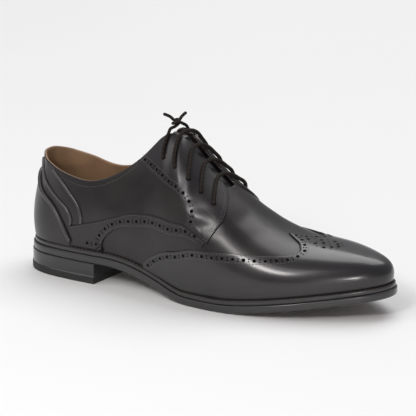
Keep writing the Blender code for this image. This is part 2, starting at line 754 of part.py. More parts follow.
def add_laces():
    """Five straight bars, and a small knot with two short ends over the top one."""
    for number, (outer, inner) in enumerate(EYELETS, start=1):
        add_cord(f"lace_bar_{number}", lace_route(outer, inner))
    top_bar = cord_path(lace_route(*EYELETS[0]))
    middle = top_bar[len(top_bar) // 2]
    seat = middle + np.array(KNOT_WAY) * (LACE / 2 + KNOT_HEIGHT / 2 + KNOT_CLEARANCE)
    size = np.array([KNOT_HEIGHT, KNOT_LENGTH, KNOT_HEIGHT])
    form = bmesh.new()
    bmesh.ops.create_uvsphere(form, u_segments=12, v_segments=6, radius=0.5)
    bmesh.ops.scale(form, verts=form.verts, vec=size)
    bmesh.ops.translate(form, verts=form.verts, vec=seat)
    points = [tuple(vert.co) for vert in form.verts]
    faces = [[vert.index for vert in face.verts] for face in form.faces]
    form.free()
    add_piece("lace_knot", points, faces, "lace_cord")
    for name, way in (("lace_end_outer", END_OUTER), ("lace_end_inner", END_INNER)):
        way = np.array(way)
        level = way / np.linalg.norm(way)
        start = seat + level * (np.linalg.norm(level * size / 2) + GAP)
        shares = np.linspace(0.0, 1.0, 4)[:, None]
        add_cord(name, start + (level * shares - np.array([0.0, 0.0, END_DROOP]) * shares**2) * LACE_END)


def centre_pieces():
    """Move all pieces so that the origin lies under the middle of the shoe."""
    pieces = list(bpy.context.scene.objects)
    corners = np.array([vert.co for piece in pieces if piece.type == "MESH" for vert in piece.data.vertices])
    middle = (corners.min(axis=0) + corners.max(axis=0)) / 2
    for piece in pieces:
        piece.data.transform(Matrix.Translation((-middle[0], -middle[1], 0.0)))


def main():
    for old in list(bpy.data.objects):
        bpy.data.objects.remove(old, do_unlink=True)
    add_heel()
    add_sole()
    add_upper()
    add_toe_cap()
    add_counter()
    add_facings()
    add_bands()
    add_tongue()
    add_laces()
    centre_pieces()


if __name__ == "__main__":
    main()
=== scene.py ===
"""Looks of a right derby shoe with a wing cap and brogued edges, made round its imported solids. Metres, +Z up."""

import math

import bmesh
import bpy
import numpy as np
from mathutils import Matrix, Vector


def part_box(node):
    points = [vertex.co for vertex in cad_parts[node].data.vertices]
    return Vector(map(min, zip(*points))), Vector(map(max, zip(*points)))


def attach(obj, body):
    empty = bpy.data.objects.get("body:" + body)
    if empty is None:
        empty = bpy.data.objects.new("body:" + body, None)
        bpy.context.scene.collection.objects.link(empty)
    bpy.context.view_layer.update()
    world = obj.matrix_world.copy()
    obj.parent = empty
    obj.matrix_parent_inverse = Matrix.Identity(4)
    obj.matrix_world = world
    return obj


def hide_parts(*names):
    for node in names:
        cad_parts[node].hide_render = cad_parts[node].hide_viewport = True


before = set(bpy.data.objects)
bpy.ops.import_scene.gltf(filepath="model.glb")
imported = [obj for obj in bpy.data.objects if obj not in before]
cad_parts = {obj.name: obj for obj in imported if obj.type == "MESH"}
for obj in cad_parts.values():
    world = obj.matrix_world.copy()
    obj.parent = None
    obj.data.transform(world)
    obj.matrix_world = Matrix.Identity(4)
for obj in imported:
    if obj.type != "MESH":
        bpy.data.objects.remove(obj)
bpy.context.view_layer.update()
SCENE = bpy.context.scene

# Sole and heel
SOLE_LENGTH = 0.304
BALL_WIDTH = 0.105
WAIST_WIDTH = 0.068
HEEL_WIDTH = 0.067
HEEL_LENGTH = 0.0735
BREAST_SKEW = 0.0055
TOP_LIFT = 0.0055
HEEL_STACK = 0.0098
HEEL_FLARE = 0.0010
OUTSOLE = 0.0056
WELT = 0.0034
EDGE_ROUND = 0.0009
WELT_STEP = 0.0012
TOE_SPRING = 0.0165
FLAT_START = 0.154
FLAT_LENGTH = 0.026
ROCKER_ROUND = 0.15

# Upper
WELT_MARGIN = 0.0046
SEAT_MARGIN = 0.0030
BACK_HEIGHT = 0.0648
INSTEP_HEIGHT = 0.1060
TOE_HEIGHT = 0.0230
UPPER_WALL = 0.0020
INSOLE_BOARD = 0.0030
TONGUE = 0.0022
LACE = 0.0024
GAP = 0.0003

SEAT = TOP_LIFT + HEEL_STACK + 2 * GAP
EDGE = OUTSOLE + WELT + 2 * GAP

# Outline of the sole: share of the length, width that the row follows, outer and inner half widths as shares
PLAN = (
    (0.000, "heel", -0.030, 0.030),
    (0.014, "heel", 0.230, 0.262),
    (0.050, "heel", 0.395, 0.425),
    (0.115, "heel", 0.487, 0.498),
    (0.200, "heel", 0.530, 0.480),
    (0.290, "waist", 0.545, 0.420),
    (0.375, "waist", 0.590, 0.395),
    (0.460, "ball", 0.432, 0.290),
    (0.545, "ball", 0.482, 0.362),
    (0.630, "ball", 0.497, 0.445),
    (0.715, "ball", 0.475, 0.490),
    (0.795, "ball", 0.415, 0.470),
    (0.870, "ball", 0.322, 0.387),
    (0.930, "ball", 0.228, 0.283),
    (0.972, "ball", 0.140, 0.185),
    (0.994, "ball", 0.058, 0.100),
    (1.000, "ball", -0.020, 0.020),
)
WIDTHS = {"heel": HEEL_WIDTH, "waist": WAIST_WIDTH, "ball": BALL_WIDTH}

# Underside between heel breast and forefoot: share of the way, share of the heel's height
SHANK = (
    (-0.10, 1.00), (0.00, 1.00), (0.15, 0.96), (0.30, 0.86), (0.50, 0.64), (0.70, 0.36), (0.86, 0.12),
    (1.00, 0.00), (1.10, 0.00),
)
HEIGHTS = {"back": BACK_HEIGHT, "instep": INSTEP_HEIGHT, "toe": TOE_HEIGHT}

# Top of each section: station, top's share of the length, height it follows, its share, middle, half width, lean
CREST = (
    (0.000, 0.030, "back", 1.000, 0.000, 0.000, 0.10),
    (0.030, 0.040, "back", 0.985, 0.000, 0.160, 0.10),
    (0.080, 0.070, "back", 0.935, 0.005, 0.300, 0.10),
    (0.160, 0.135, "back", 0.850, 0.015, 0.390, 0.12),
    (0.260, 0.218, "back", 0.815, 0.030, 0.390, 0.20),
    (0.350, 0.303, "instep", 0.605, 0.042, 0.325, 0.38),
    (0.430, 0.372, "instep", 0.785, 0.048, 0.215, 0.62),
    (0.490, 0.414, "instep", 0.910, 0.048, 0.090, 0.88),
    (0.540, 0.450, "instep", 0.893, 0.048, 0.000, 1.00),
    (0.590, 0.497, "instep", 0.752, 0.048, 0.000, 1.00),
    (0.640, 0.555, "instep", 0.600, 0.048, 0.000, 1.00),
    (0.700, 0.628, "instep", 0.420, 0.048, 0.000, 1.00),
    (0.780, 0.712, "instep", 0.272, 0.045, 0.000, 1.00),
    (0.860, 0.792, "toe", 1.020, 0.030, 0.000, 1.00),
    (0.935, 0.865, "toe", 0.910, 0.012, 0.000, 1.00),
    (1.000, 0.900, "toe", 0.850, 0.005, 0.000, 1.00),
)

# Wall of each section: station, then lean at the foot, pull of the foot and of the top, outer and inner side
WALL = (
    (0.000, 0.18, 0.40, 0.38, 0.18, 0.40, 0.38),
    (0.080, 0.14, 0.40, 0.38, 0.14, 0.40, 0.38),
    (0.200, 0.14, 0.40, 0.36, 0.08, 0.40, 0.34),
    (0.340, 0.20, 0.38, 0.28, 0.02, 0.38, 0.24),
    (0.460, 0.28, 0.36, 0.24, 0.00, 0.34, 0.16),
    (0.560, 0.32, 0.34, 0.25, 0.00, 0.30, 0.11),
    (0.680, 0.34, 0.36, 0.36, 0.08, 0.34, 0.18),
    (0.800, 0.34, 0.42, 0.50, 0.24, 0.42, 0.40),
    (0.900, 0.30, 0.46, 0.52, 0.28, 0.48, 0.52),
    (1.000, 0.26, 0.50, 0.50, 0.26, 0.50, 0.50),
)
BACK_STEP = 0.03
RIDGE_START = 0.3
MARGIN_CHANGE = (0.35, 0.60)
THROAT = 0.655
THROAT_TURN = 0.006
THROAT_GAP = 0.018
RIM_STEP = 0.015
FOOT = 0.020

# Edges of the panels: station, share of the section
CAP_EDGE = (
    (0.380, 0.055), (0.415, 0.150), (0.468, 0.220), (0.531, 0.243), (0.580, 0.280), (0.640, 0.337),
    (0.710, 0.430), (0.765, 0.520), (0.806, 0.610), (0.824, 0.720), (0.822, 0.850), (0.806, 0.950),
    (0.792, 1.000),
)
WING_SLANT = 0.004
CAP_RIDGE_SHARE = 0.36
CAP_CROWDING = 1.25
COUNTER_EDGE = (
    (0.000, 0.780), (0.015, 0.745), (0.038, 0.657), (0.087, 0.543), (0.120, 0.417), (0.137, 0.257),
    (0.156, 0.020),
)
FACING_REAR = (
    (0.389, 0.990), (0.440, 0.770), (0.494, 0.603), (0.541, 0.505), (0.557, 0.465), (0.556, 0.420),
    (0.545, 0.374),
)
FACING_FRONT = (
    (0.648, 0.870), (0.657, 0.810), (0.659, 0.717), (0.652, 0.593), (0.632, 0.477), (0.603, 0.348),
)
BAND_TOP = (
    (0.158, 0.265), (0.175, 0.300), (0.240, 0.405), (0.316, 0.485), (0.353, 0.500), (0.418, 0.463),
    (0.523, 0.372), (0.596, 0.340),
)
BAND_FOOT = (
    (0.170, 0.020), (0.215, 0.020), (0.250, 0.022), (0.256, 0.120), (0.277, 0.243), (0.306, 0.330),
    (0.344, 0.367), (0.410, 0.367), (0.503, 0.315), (0.585, 0.303),
)
# Raised beads over the back of the quarter, forward of the counter's edge
BEADS = (
    ((0.034, 0.955), (0.052, 0.860), (0.075, 0.765), (0.105, 0.680), (0.134, 0.603), (0.154, 0.535), (0.165, 0.450),
     (0.167, 0.360), (0.163, 0.285)),
    ((0.112, 0.960), (0.150, 0.880), (0.173, 0.785), (0.192, 0.688), (0.202, 0.595), (0.204, 0.478), (0.200, 0.350)),
)
EYELETS = (
    ((0.492, 0.760), (0.500, 0.760)),
    ((0.533, 0.660), (0.545, 0.690)),
    ((0.567, 0.640), (0.580, 0.680)),
    ((0.598, 0.640), (0.611, 0.680)),
    ((0.628, 0.640), (0.640, 0.680)),
)
# Row of stitches below the collar's edge
COLLAR_LINE = (
    (0.001, 0.940), (0.030, 0.939), (0.080, 0.936), (0.160, 0.930), (0.260, 0.926), (0.350, 0.932), (0.392, 0.943),
)
EDGE_SCALE = (0.36, 0.08)
TONGUE_FOOT = 0.720
TONGUE_TOP = 0.541
TONGUE_REACH = 0.200
TONGUE_CLEARANCE = 0.0012
TONGUE_TIP = (-0.010, 0.0, 0.0015)
KNOT_WAY = (0.35, 0.0, 0.94)
END_OUTER = (-0.50, -0.55, 0.67)
END_INNER = (0.10, 0.80, 0.59)

# Leather panels: height over the upper and rounding of their cut edge
PANEL_LIFT = 0.0014
CUT_ROUND = 0.0006

# Stitches and holes: spacings, depth of a stitch, rise of the hole copies (painted-shade disc and rim), and a
# pinhole from the row's middle
STITCH_STEP = 0.0026
STITCH_SINK = 0.00005
WELT_STITCH_STEP = 0.0034
WELT_STITCH = (0.0026, 0.0007, 0.0005)
HOLE_STEP = 0.0080
HOLE_RISE = 0.00014
PINHOLE_OFFSET = 0.0009

# Beads: radius and height over the upper, round the back and over the quarter, and their reach to the edge
COUNTER_BEAD = (0.0016, 0.0008)
QUARTER_BEAD = (0.0013, 0.0002)
BEAD_REACH = 0.985

# Laces: thickness where drawn flat over the facings, bare end of a tie
BAR = 0.0029
TIE_END = 0.0095

# Swell of the sole's edge, distance under which points are joined, and step for directions on the skin
EDGE_SWELL = 0.00005
WELD = 2e-6
SKIN_STEP = 1e-3
# Ridge beside a crease: share of its depth, and place in half widths from its middle
RIDGE_HEIGHT = 0.45
RIDGE_PLACE = 1.9


def unit(vectors):
    """Vectors scaled to length 1."""
    return vectors / np.linalg.norm(vectors, axis=-1, keepdims=True)


def walked(points):
    """Way walked from the first point to each."""
    return np.concatenate([[0.0], np.cumsum(np.linalg.norm(np.diff(points, axis=0), axis=-1))])


class Track:
    """A smooth curve through rows of values: round (its curvature runs on) or steady (it never overshoots)."""

    def __init__(self, knots, values, kind, period=None):
        self.knots = np.asarray(knots, float)
        self.values = np.asarray(values, float).reshape(len(self.knots), -1)
        self.period = period
        if period:
            self.knots = np.append(self.knots, self.knots[0] + period)
            self.values = np.vstack([self.values, self.values[:1]])
        self.steps = np.diff(self.knots)[:, None]
        self.rises = np.diff(self.values, axis=0) / self.steps
        self.slopes = self.round() if kind == "round" else self.steady()

    def round(self):
        """Slopes that keep the curvature the same on both sides of every row."""
        count = len(self.steps) if self.period else len(self.steps) + 1
        system = np.zeros((count, count))
        right = np.zeros((count, self.values.shape[1]))
        for i in range(len(self.steps)):
            following = (i + 1) % count
            weight = 1 / self.steps[i, 0]
            system[[i, following], [i, following]] += 2 * weight
            system[[i, following], [following, i]] += weight
            right[[i, following]] += 3 * weight * self.rises[i]
        slopes = np.linalg.solve(system, right)
        return np.vstack([slopes, slopes[:1]]) if self.period else slopes

    def steady(self):
        """Slopes that keep the curve between its rows, level where it turns."""
        first, last = (self.rises[-1:], self.rises[:1]) if self.period else (self.rises[:1], self.rises[-1:])
        before = np.vstack([first, self.rises])
        after = np.vstack([self.rises, last])
        same = before * after > 0
        total = np.where(same, before + after, 1.0)
        return np.where(same, 2 * before * after / total, 0.0)

    def __call__(self, at):
        at = np.asarray(at, float)
        if self.period:
            at = (at - self.knots[0]) % self.period + self.knots[0]
        at = np.clip(at, self.knots[0], self.knots[-1])
        i = np.clip(np.searchsorted(self.knots, at, side="right") - 1, 0, len(self.steps) - 1)
        step = self.steps[i]
        t = ((at - self.knots[i]) / step[..., 0])[..., None]
        low, high = self.values[i], self.values[i + 1]
        start, end = self.slopes[i] * step, self.slopes[i + 1] * step
        bend = 3 * (high - low) - 2 * start - end + t * (2 * (low - high) + start + end)
        curve = low + t * (start + t * bend)
        return curve[..., 0] if curve.shape[-1] == 1 else curve


def closed_track(around, outer, inner, kind):
    """Closed curve over the girth, from toe along the outer side to the heel and back along the inner."""
    outer, inner = np.asarray(outer, float), np.asarray(inner, float)
    knots = np.concatenate([-np.asarray(around)[:0:-1], np.asarray(around)[:-1]])
    values = np.concatenate([outer[:0:-1], inner[:-1]])
    return Track(knots, values, kind, period=2.0)


def plan_track():
    """Outline of the sole over the girth, which runs from 0 at the heel to 1 at the toe on each side."""
    stations = np.array([row[0] for row in PLAN]) * SOLE_LENGTH
    widths = np.array([WIDTHS[row[1]] for row in PLAN])
    outer = np.column_stack([stations, -widths * [row[2] for row in PLAN]])
    inner = np.column_stack([stations, widths * [row[3] for row in PLAN]])
    walk = sum(np.linalg.norm(np.diff(side, axis=0), axis=1) for side in (outer, inner)) / 2
    around = np.concatenate([[0.0], np.cumsum(walk)]) / walk.sum()
    return closed_track(around, outer, inner, "round")


OUTLINE = plan_track()
DENSE = np.linspace(0.0, 1.0, 401)
DENSE_STATION = OUTLINE(DENSE)[:, 0] / SOLE_LENGTH
SOLE_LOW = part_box("outsole")[0]
SHIFT = np.array([
    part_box("outsole")[1][0] - SOLE_LENGTH,
    SOLE_LOW[1] - OUTLINE(np.linspace(-1, 1, 4001))[:, 1].min(),
    0.0,
])


def girth(station):
    """Place round the girth of a station given as a share of the length."""
    return np.interp(station, DENSE_STATION, DENSE)


def outward(w):
    """Level direction that points out of the outline."""
    along = unit(OUTLINE(np.asarray(w) + SKIN_STEP) - OUTLINE(np.asarray(w) - SKIN_STEP))
    return np.stack([-along[..., 1], along[..., 0]], axis=-1)


def sole_lift(x):
    """Height of the sole's underside over the floor: heel seat, shank, flat forefoot and toe spring."""
    x = np.asarray(x, float)
    breast = HEEL_LENGTH + BREAST_SKEW
    shares = np.asarray(SHANK)
    shank = Track(shares[:, 0], shares[:, 1], "steady")
    flat_end = FLAT_START + FLAT_LENGTH
    fall = SEAT * shank(np.clip((x - breast) / (FLAT_START - breast), 0.0, 1.0))
    s = np.clip((x - flat_end) / (SOLE_LENGTH - flat_end), 0.0, None)
    rise = (np.sqrt(s**2 + ROCKER_ROUND**2) - ROCKER_ROUND) / (np.sqrt(1 + ROCKER_ROUND**2) - ROCKER_ROUND)
    return fall + TOE_SPRING * rise


def ease(x, start, end):
    """0 before start, 1 after end, smooth between."""
    t = np.clip((np.asarray(x, float) - start) / (end - start), 0.0, 1.0)
    return t * t * (3 - 2 * t)


def margin(w):
    """How far the welt stands out from the upper."""
    share = OUTLINE(w)[..., 0] / SOLE_LENGTH
    return SEAT_MARGIN + (WELT_MARGIN - SEAT_MARGIN) * ease(share, *MARGIN_CHANGE)


def outline_at(w, inset):
    """Level points of the outline, moved inwards."""
    return OUTLINE(w) - outward(w) * np.asarray(inset)[..., None]


def standing(points, rise):
    """Level points lifted to a height over the sole's underside."""
    return np.concatenate([points, (sole_lift(points[..., 0]) + rise)[..., None]], axis=-1)


def feather(w, inset=0.0):
    """Foot of the upper, on the welt."""
    return standing(outline_at(w, margin(w) + inset), EDGE + GAP)


def crest_tracks():
    """Top of the sections, with the wall's lean there."""
    around = girth(np.array([row[0] for row in CREST]))
    x = np.array([row[1] for row in CREST]) * SOLE_LENGTH
    z = SEAT + EDGE + np.array([HEIGHTS[row[2]] * row[3] for row in CREST])
    middle = np.array([row[4] for row in CREST]) * BALL_WIDTH
    half = np.array([row[5] for row in CREST]) * HEEL_WIDTH
    lean = np.array([row[6] for row in CREST])
    centre = np.column_stack([x, -middle, z])
    path = closed_track(around, centre, centre, "round")
    side = closed_track(around, -half, half, "steady")
    return path, side, closed_track(around, lean, lean, "steady")


CREST_PATH, CREST_SIDE, CREST_LEAN = crest_tracks()
WALL_ROWS = np.asarray(WALL)
WALL_TRACK = closed_track(girth(WALL_ROWS[:, 0]), WALL_ROWS[:, 1:4], WALL_ROWS[:, 4:7], "round")


def ridge_way(w):
    """Direction of the ridge towards the toe."""
    front = np.maximum(np.abs(w), RIDGE_START)
    return unit(CREST_PATH(front) - CREST_PATH(front - BACK_STEP))


def last_point(w, v):
    """Point of the last's skin: w round the girth, v from the foot at 0 to the top of the section at 1."""
    w, v = np.broadcast_arrays(np.asarray(w, float), np.asarray(v, float))
    foot = feather(w)
    top = CREST_PATH(w) + CREST_SIDE(w)[..., None] * np.array([0.0, 1.0, 0.0])
    lean, foot_pull, top_pull = np.moveaxis(WALL_TRACK(w), -1, 0)
    out = outward(w)
    level = np.concatenate([out, np.zeros_like(out[..., :1])], axis=-1)
    up = np.array([0.0, 0.0, 1.0])
    away = up * np.sqrt(1 - lean**2)[..., None] + level * lean[..., None]
    ridge = ridge_way(w)
    flat = CREST_LEAN(w)
    over = ridge * out[..., :1] + np.array([0.0, 1.0, 0.0]) * out[..., 1:]
    rim = over * flat[..., None] - up * np.sqrt(np.clip(1 - flat**2, 0.0, 1.0))[..., None]
    span = np.linalg.norm(top - foot, axis=-1)
    near = foot + away * (foot_pull * span)[..., None]
    far = top + rim * (top_pull * span)[..., None]
    v = v[..., None]
    return (1 - v)**3 * foot + 3 * (1 - v)**2 * v * near + 3 * (1 - v) * v**2 * far + v**3 * top


def last_way(w, v):
    """Outward direction of the last's skin."""
    w, v = np.broadcast_arrays(np.asarray(w, float), np.asarray(v, float))
    below = np.minimum(v, 1 - 12 * SKIN_STEP)
    around = last_point(w + SKIN_STEP, below) - last_point(w - SKIN_STEP, below)
    up = last_point(w, below + SKIN_STEP) - last_point(w, below - SKIN_STEP)
    on_ridge = (v > 1 - SKIN_STEP) & (CREST_SIDE(w) == 0)
    way = ridge_way(w)
    level = np.stack([-way[..., 2], np.zeros(w.shape), way[..., 0]], axis=-1)
    return unit(np.where(on_ridge[..., None], level, np.cross(up, around)))


# Creases where the vamp bends and the quarter gives: side, station and share at start, middle and end, half
# width and depth in metres
CREASES = (
    (-1, (0.672, 0.560), (0.694, 0.760), (0.706, 0.930), 0.0060, 0.00022),
    (-1, (0.706, 0.540), (0.728, 0.700), (0.742, 0.880), 0.0065, 0.00018),
    (-1, (0.300, 0.620), (0.360, 0.700), (0.420, 0.660), 0.0090, 0.00045),
    (-1, (0.556, 0.452), (0.592, 0.530), (0.632, 0.556), 0.0042, 0.00052),
    (-1, (0.578, 0.392), (0.604, 0.446), (0.646, 0.482), 0.0046, 0.00046),
    (-1, (0.508, 0.600), (0.513, 0.672), (0.520, 0.760), 0.0032, 0.00030),
    (-1, (0.545, 0.545), (0.550, 0.610), (0.556, 0.690), 0.0032, 0.00032),
    (-1, (0.578, 0.560), (0.583, 0.620), (0.588, 0.700), 0.0030, 0.00028),
    (1, (0.672, 0.560), (0.694, 0.760), (0.706, 0.930), 0.0060, 0.00020),
    (1, (0.706, 0.540), (0.728, 0.700), (0.742, 0.880), 0.0065, 0.00018),
    (1, (0.300, 0.620), (0.360, 0.700), (0.420, 0.660), 0.0090, 0.00040),
)


def crease_lines():
    """Middle line of every crease on the last, with its fading ends."""
    lines = []
    for side, start, middle, end, half, depth in CREASES:
        t = np.linspace(0.0, 1.0, 25)[:, None]
        rows = np.array([(girth(station), share) for station, share in (start, middle, end)])
        spot = (1 - t)**2 * rows[0] + 2 * (1 - t) * t * (2 * rows[1] - (rows[0] + rows[2]) / 2) + t**2 * rows[2]
        fade = np.sin(np.pi * t[:, 0])**0.7
        lines.append((last_point(side * spot[:, 0], spot[:, 1]), fade, half, depth))
    return lines


CREASE_LINES = crease_lines()


def relief(points):
    """Depth of the creases at points of the last: a soft trough with a low ridge on each side."""
    total = np.zeros(points.shape[:-1])
    flat = points.reshape(-1, 3)
    for line, fade, half, depth in CREASE_LINES:
        reach = np.linalg.norm(flat[:, None] - line[None], axis=-1)
        near = reach.argmin(axis=1)
        d = reach[np.arange(len(flat)), near] / half
        shape = -np.exp(-d**2) + RIDGE_HEIGHT * np.exp(-(d - RIDGE_PLACE)**2)
        total += (depth * fade[near] * shape).reshape(total.shape)
    return total


def leather(w, v, lift):
    """Point at a height over the last, creases included, in the row's frame."""
    base = last_point(w, v)
    height = np.asarray(lift, float) + relief(base)
    return base + last_way(w, v) * height[..., None] + SHIFT


def columns(count, crowding=0.15):
    """Places round the girth, closer together at heel and toe."""
    s = -1 + 2 * np.arange(count) / count
    return s - crowding * np.sin(2 * np.pi * s) / (2 * np.pi)


def throat_rim(w):
    """Share of the section where the upper ends: its top, the facing's edge, the ridge past the throat."""
    w = np.abs(np.asarray(w, float))
    v = np.linspace(0.6, 1.0, 161)
    rim = np.ones(w.shape)
    throat = girth(THROAT)
    for i, place in enumerate(w):
        side = abs(CREST_SIDE(place))
        turn = np.clip((place - throat + THROAT_TURN) / THROAT_TURN, 0.0, 1.0)
        half = THROAT_GAP / 2 * math.sqrt(1 - turn**2)
        if RIDGE_START < place < throat and side < half:
            points = last_point(-place, v)
            reach = CREST_PATH(place)[1] - points[:, 1]
            rim[i] = np.interp(-half, -reach, v)
    return rim


def edge_track(rows, kind="steady"):
    """Curve over the skin through rows of station and share of the section, spaced by distance."""
    rows = np.array([(girth(station), share) for station, share in rows])
    walk = walked(rows * np.array(EDGE_SCALE))
    return Track(walk / walk[-1], rows, kind)


def patch(top, foot, start, end, s, t):
    """Places on the skin inside four edges: top and foot run from start to end."""
    top, foot, start, end = top(s)[:, None], foot(s)[:, None], start(t)[None], end(t)[None]
    s, t = s[:, None, None], t[None, :, None]
    straight = (1 - t) * top + t * foot
    left = start - ((1 - t) * top[:1] + t * foot[:1])
    right = end - ((1 - t) * top[-1:] + t * foot[-1:])
    return straight + (1 - s)**2 * left + s**2 * right


class Number:
    """A value in a material's nodes, so that sums of values read as plain sums."""

    def __init__(self, finish, socket):
        self.finish = finish
        self.socket = socket

    def sum(self, operation, *others):
        """This value and others under one operation."""
        return self.finish.node("ShaderNodeMath", {"operation": operation}, dict(enumerate((self, *others))))

    def __add__(self, other):
        return self.sum("ADD", other)

    def __sub__(self, other):
        return self.sum("SUBTRACT", other)

    def __mul__(self, other):
        return self.sum("MULTIPLY", other)

    __radd__ = __add__
    __rmul__ = __mul__

    def over(self, low, high):
        """0 below low, 1 above high, smooth between."""
        values = {"Value": self, "From Min": low, "From Max": high}
        return self.finish.node("ShaderNodeMapRange", {"interpolation_type": "SMOOTHSTEP"}, values)


def add_node(tree, kind, settings=None, values=None, out=0):
    """Output of a new node with its settings, then the values or links of its sockets."""
    made = tree.nodes.new(kind)
    for key, value in (settings or {}).items():
        setattr(made, key, value)
    for key, value in (values or {}).items():
        if isinstance(value, bpy.types.NodeSocket):
            tree.links.new(value, made.inputs[key])
        else:
            made.inputs[key].default_value = value
    return made.outputs[out]


class Finish:
    """A material of the shoe: uniform values on its shader, and nodes made by one method."""

    def __init__(self, name, colour, roughness, uniform=None):
        self.material = bpy.data.materials.new(name)
        self.material.use_nodes = True
        self.tree = self.material.node_tree
        self.shader = self.tree.nodes["Principled BSDF"]
        for key, value in {"Base Color": (*colour, 1.0), "Roughness": roughness, **(uniform or {})}.items():
            self.shader.inputs[key].default_value = value

    def node(self, kind, settings=None, values=None, out=0):
        """A node's output as a value to go on with."""
        values = {key: getattr(value, "socket", value) for key, value in (values or {}).items()}
        return Number(self, add_node(self.tree, kind, settings, values, out))

    def place(self, *scale):
        """The object's own coordinates, scaled."""
        spot = self.node("ShaderNodeTexCoord", out="Object")
        return self.node("ShaderNodeMapping", {}, {"Vector": spot, "Scale": scale or (1.0, 1.0, 1.0)})

    def noise(self, scale, detail=2.0, where=None):
        values = {"Vector": where or self.place(), "Scale": scale, "Detail": detail}
        return self.node("ShaderNodeTexNoise", {}, values)

    def cells(self, scale):
        return self.node("ShaderNodeTexVoronoi", {}, {"Vector": self.place(), "Scale": scale}, "Distance")

    def blend(self, factor, first, second):
        """Colour between two colours."""
        values = {0: factor}
        for key, colour in ((6, first), (7, second)):
            values[key] = colour if isinstance(colour, Number) else (*colour, 1.0)
        return self.node("ShaderNodeMix", {"data_type": "RGBA"}, values, 2)

    def set(self, key, value):
        self.tree.links.new(value.socket, self.shader.inputs[key])

    def bump(self, height, distance, strength=1.0):
        """Relief on the surface, from a height in shares of the distance."""
        values = {"Height": height, "Distance": distance, "Strength": strength}
        self.set("Normal", self.node("ShaderNodeBump", {}, values))


SHINE = "Specular IOR Level"
# Colour of the light that black calf throws back, and the height of fine relief
CALF_SHINE = (1.0, 0.955, 0.985, 1.0)
FINE_RELIEF = 0.00012


def calf(name, dark, light, rough, coat, coat_roughness, shine=0.5):
    """Polished calf leather: fine pores, cloudy polish and a clear coat."""
    finish = Finish(name, dark, rough, {
        "Coat Weight": coat, "Coat Roughness": coat_roughness, SHINE: shine, "Specular Tint": CALF_SHINE,
    })
    cloud = finish.noise(28.0, 3.0)
    finish.set("Base Color", finish.blend(cloud.over(0.35, 0.7), dark, light))
    smear = finish.noise(60.0, 4.0, finish.place(1.0, 1.0, 1.8))
    finish.set("Roughness", rough + 0.16 * (smear - 0.5) + 0.10 * (cloud - 0.5))
    pores = finish.cells(1500.0)
    grain = finish.noise(900.0, 3.0)
    soft = finish.noise(110.0, 2.0)
    finish.bump(0.30 * pores + 0.4 * grain + 1.8 * soft, FINE_RELIEF, 0.40)
    return finish.material


def hole_shade_finish():
    """Near-black disc colour that paints the shade inside a punched hole."""
    finish = Finish("punched_hole_painted_shade", (0.003, 0.003, 0.003), 0.9, {SHINE: 0.06})
    finish.set("Roughness", 0.85 + 0.1 * finish.noise(800.0))
    return finish.material


def thread(name, colour):
    """Waxed thread, two plies twisted."""
    finish = Finish(name, colour, 0.45)
    finish.bump(finish.noise(2600.0, 1.0), 0.0001, 0.5)
    return finish.material


def lining():
    """Tan lining leather with a cloudy tone and small pores."""
    finish = Finish("lining_leather", (0.34, 0.20, 0.11), 0.55)
    cloud = finish.noise(35.0, 4.0)
    finish.set("Base Color", finish.blend(cloud.over(0.3, 0.75), (0.20, 0.115, 0.062), (0.30, 0.185, 0.105)))
    finish.bump(finish.cells(1100.0) + 0.6 * finish.noise(300.0), FINE_RELIEF, 0.6)
    finish.set("Roughness", 0.5 + 0.15 * cloud)
    return finish.material


def sole_edge():
    """Black waxed edge of leather layers, burnished along its length."""
    finish = Finish("waxed_edge", (0.020, 0.018, 0.019), 0.30, {"Coat Weight": 0.35, "Coat Roughness": 0.14})
    layers = finish.noise(60.0, 3.0, finish.place(1.0, 1.0, 30.0))
    finish.set("Base Color", finish.blend(layers.over(0.3, 0.7), (0.016, 0.015, 0.016), (0.026, 0.024, 0.025)))
    finish.set("Roughness", 0.24 + 0.16 * finish.noise(45.0, 4.0))
    finish.bump(0.4 * layers + 0.5 * finish.noise(500.0, 3.0), FINE_RELIEF, 0.4)
    return finish.material


def sole_grain():
    """Underside of the leather sole, stained dark brown, a little scuffed where it stands."""
    finish = Finish("sole_grain", (0.060, 0.040, 0.028), 0.5)
    cloud = finish.noise(22.0, 5.0)
    scuff = finish.noise(160.0, 5.0, finish.place(0.35, 1.6, 1.0)).over(0.56, 0.72)
    tone = finish.blend(cloud.over(0.3, 0.75), (0.045, 0.030, 0.021), (0.085, 0.056, 0.038))
    finish.set("Base Color", finish.blend(scuff * 0.5, tone, (0.030, 0.024, 0.020)))
    finish.set("Roughness", 0.42 + 0.3 * scuff)
    finish.bump(finish.cells(700.0) + 0.8 * scuff, FINE_RELIEF, 0.6)
    return finish.material


def heel_rubber():
    """Black rubber of the top lift, with a fine tooth."""
    finish = Finish("heel_rubber", (0.014, 0.014, 0.014), 0.6)
    finish.set("Roughness", 0.55 + 0.2 * finish.noise(90.0, 3.0))
    finish.bump(finish.noise(1200.0, 2.0), 0.0001, 0.6)
    return finish.material


def welt_leather():
    """Welt: dark brown on top, under a thin black wax."""
    finish = Finish("welt_leather", (0.014, 0.010, 0.008), 0.5)
    worn = finish.noise(70.0, 4.0)
    finish.set("Base Color", finish.blend(worn.over(0.35, 0.7), (0.009, 0.0065, 0.005), (0.026, 0.019, 0.014)))
    finish.bump(finish.noise(900.0, 3.0), FINE_RELIEF, 0.6)
    return finish.material


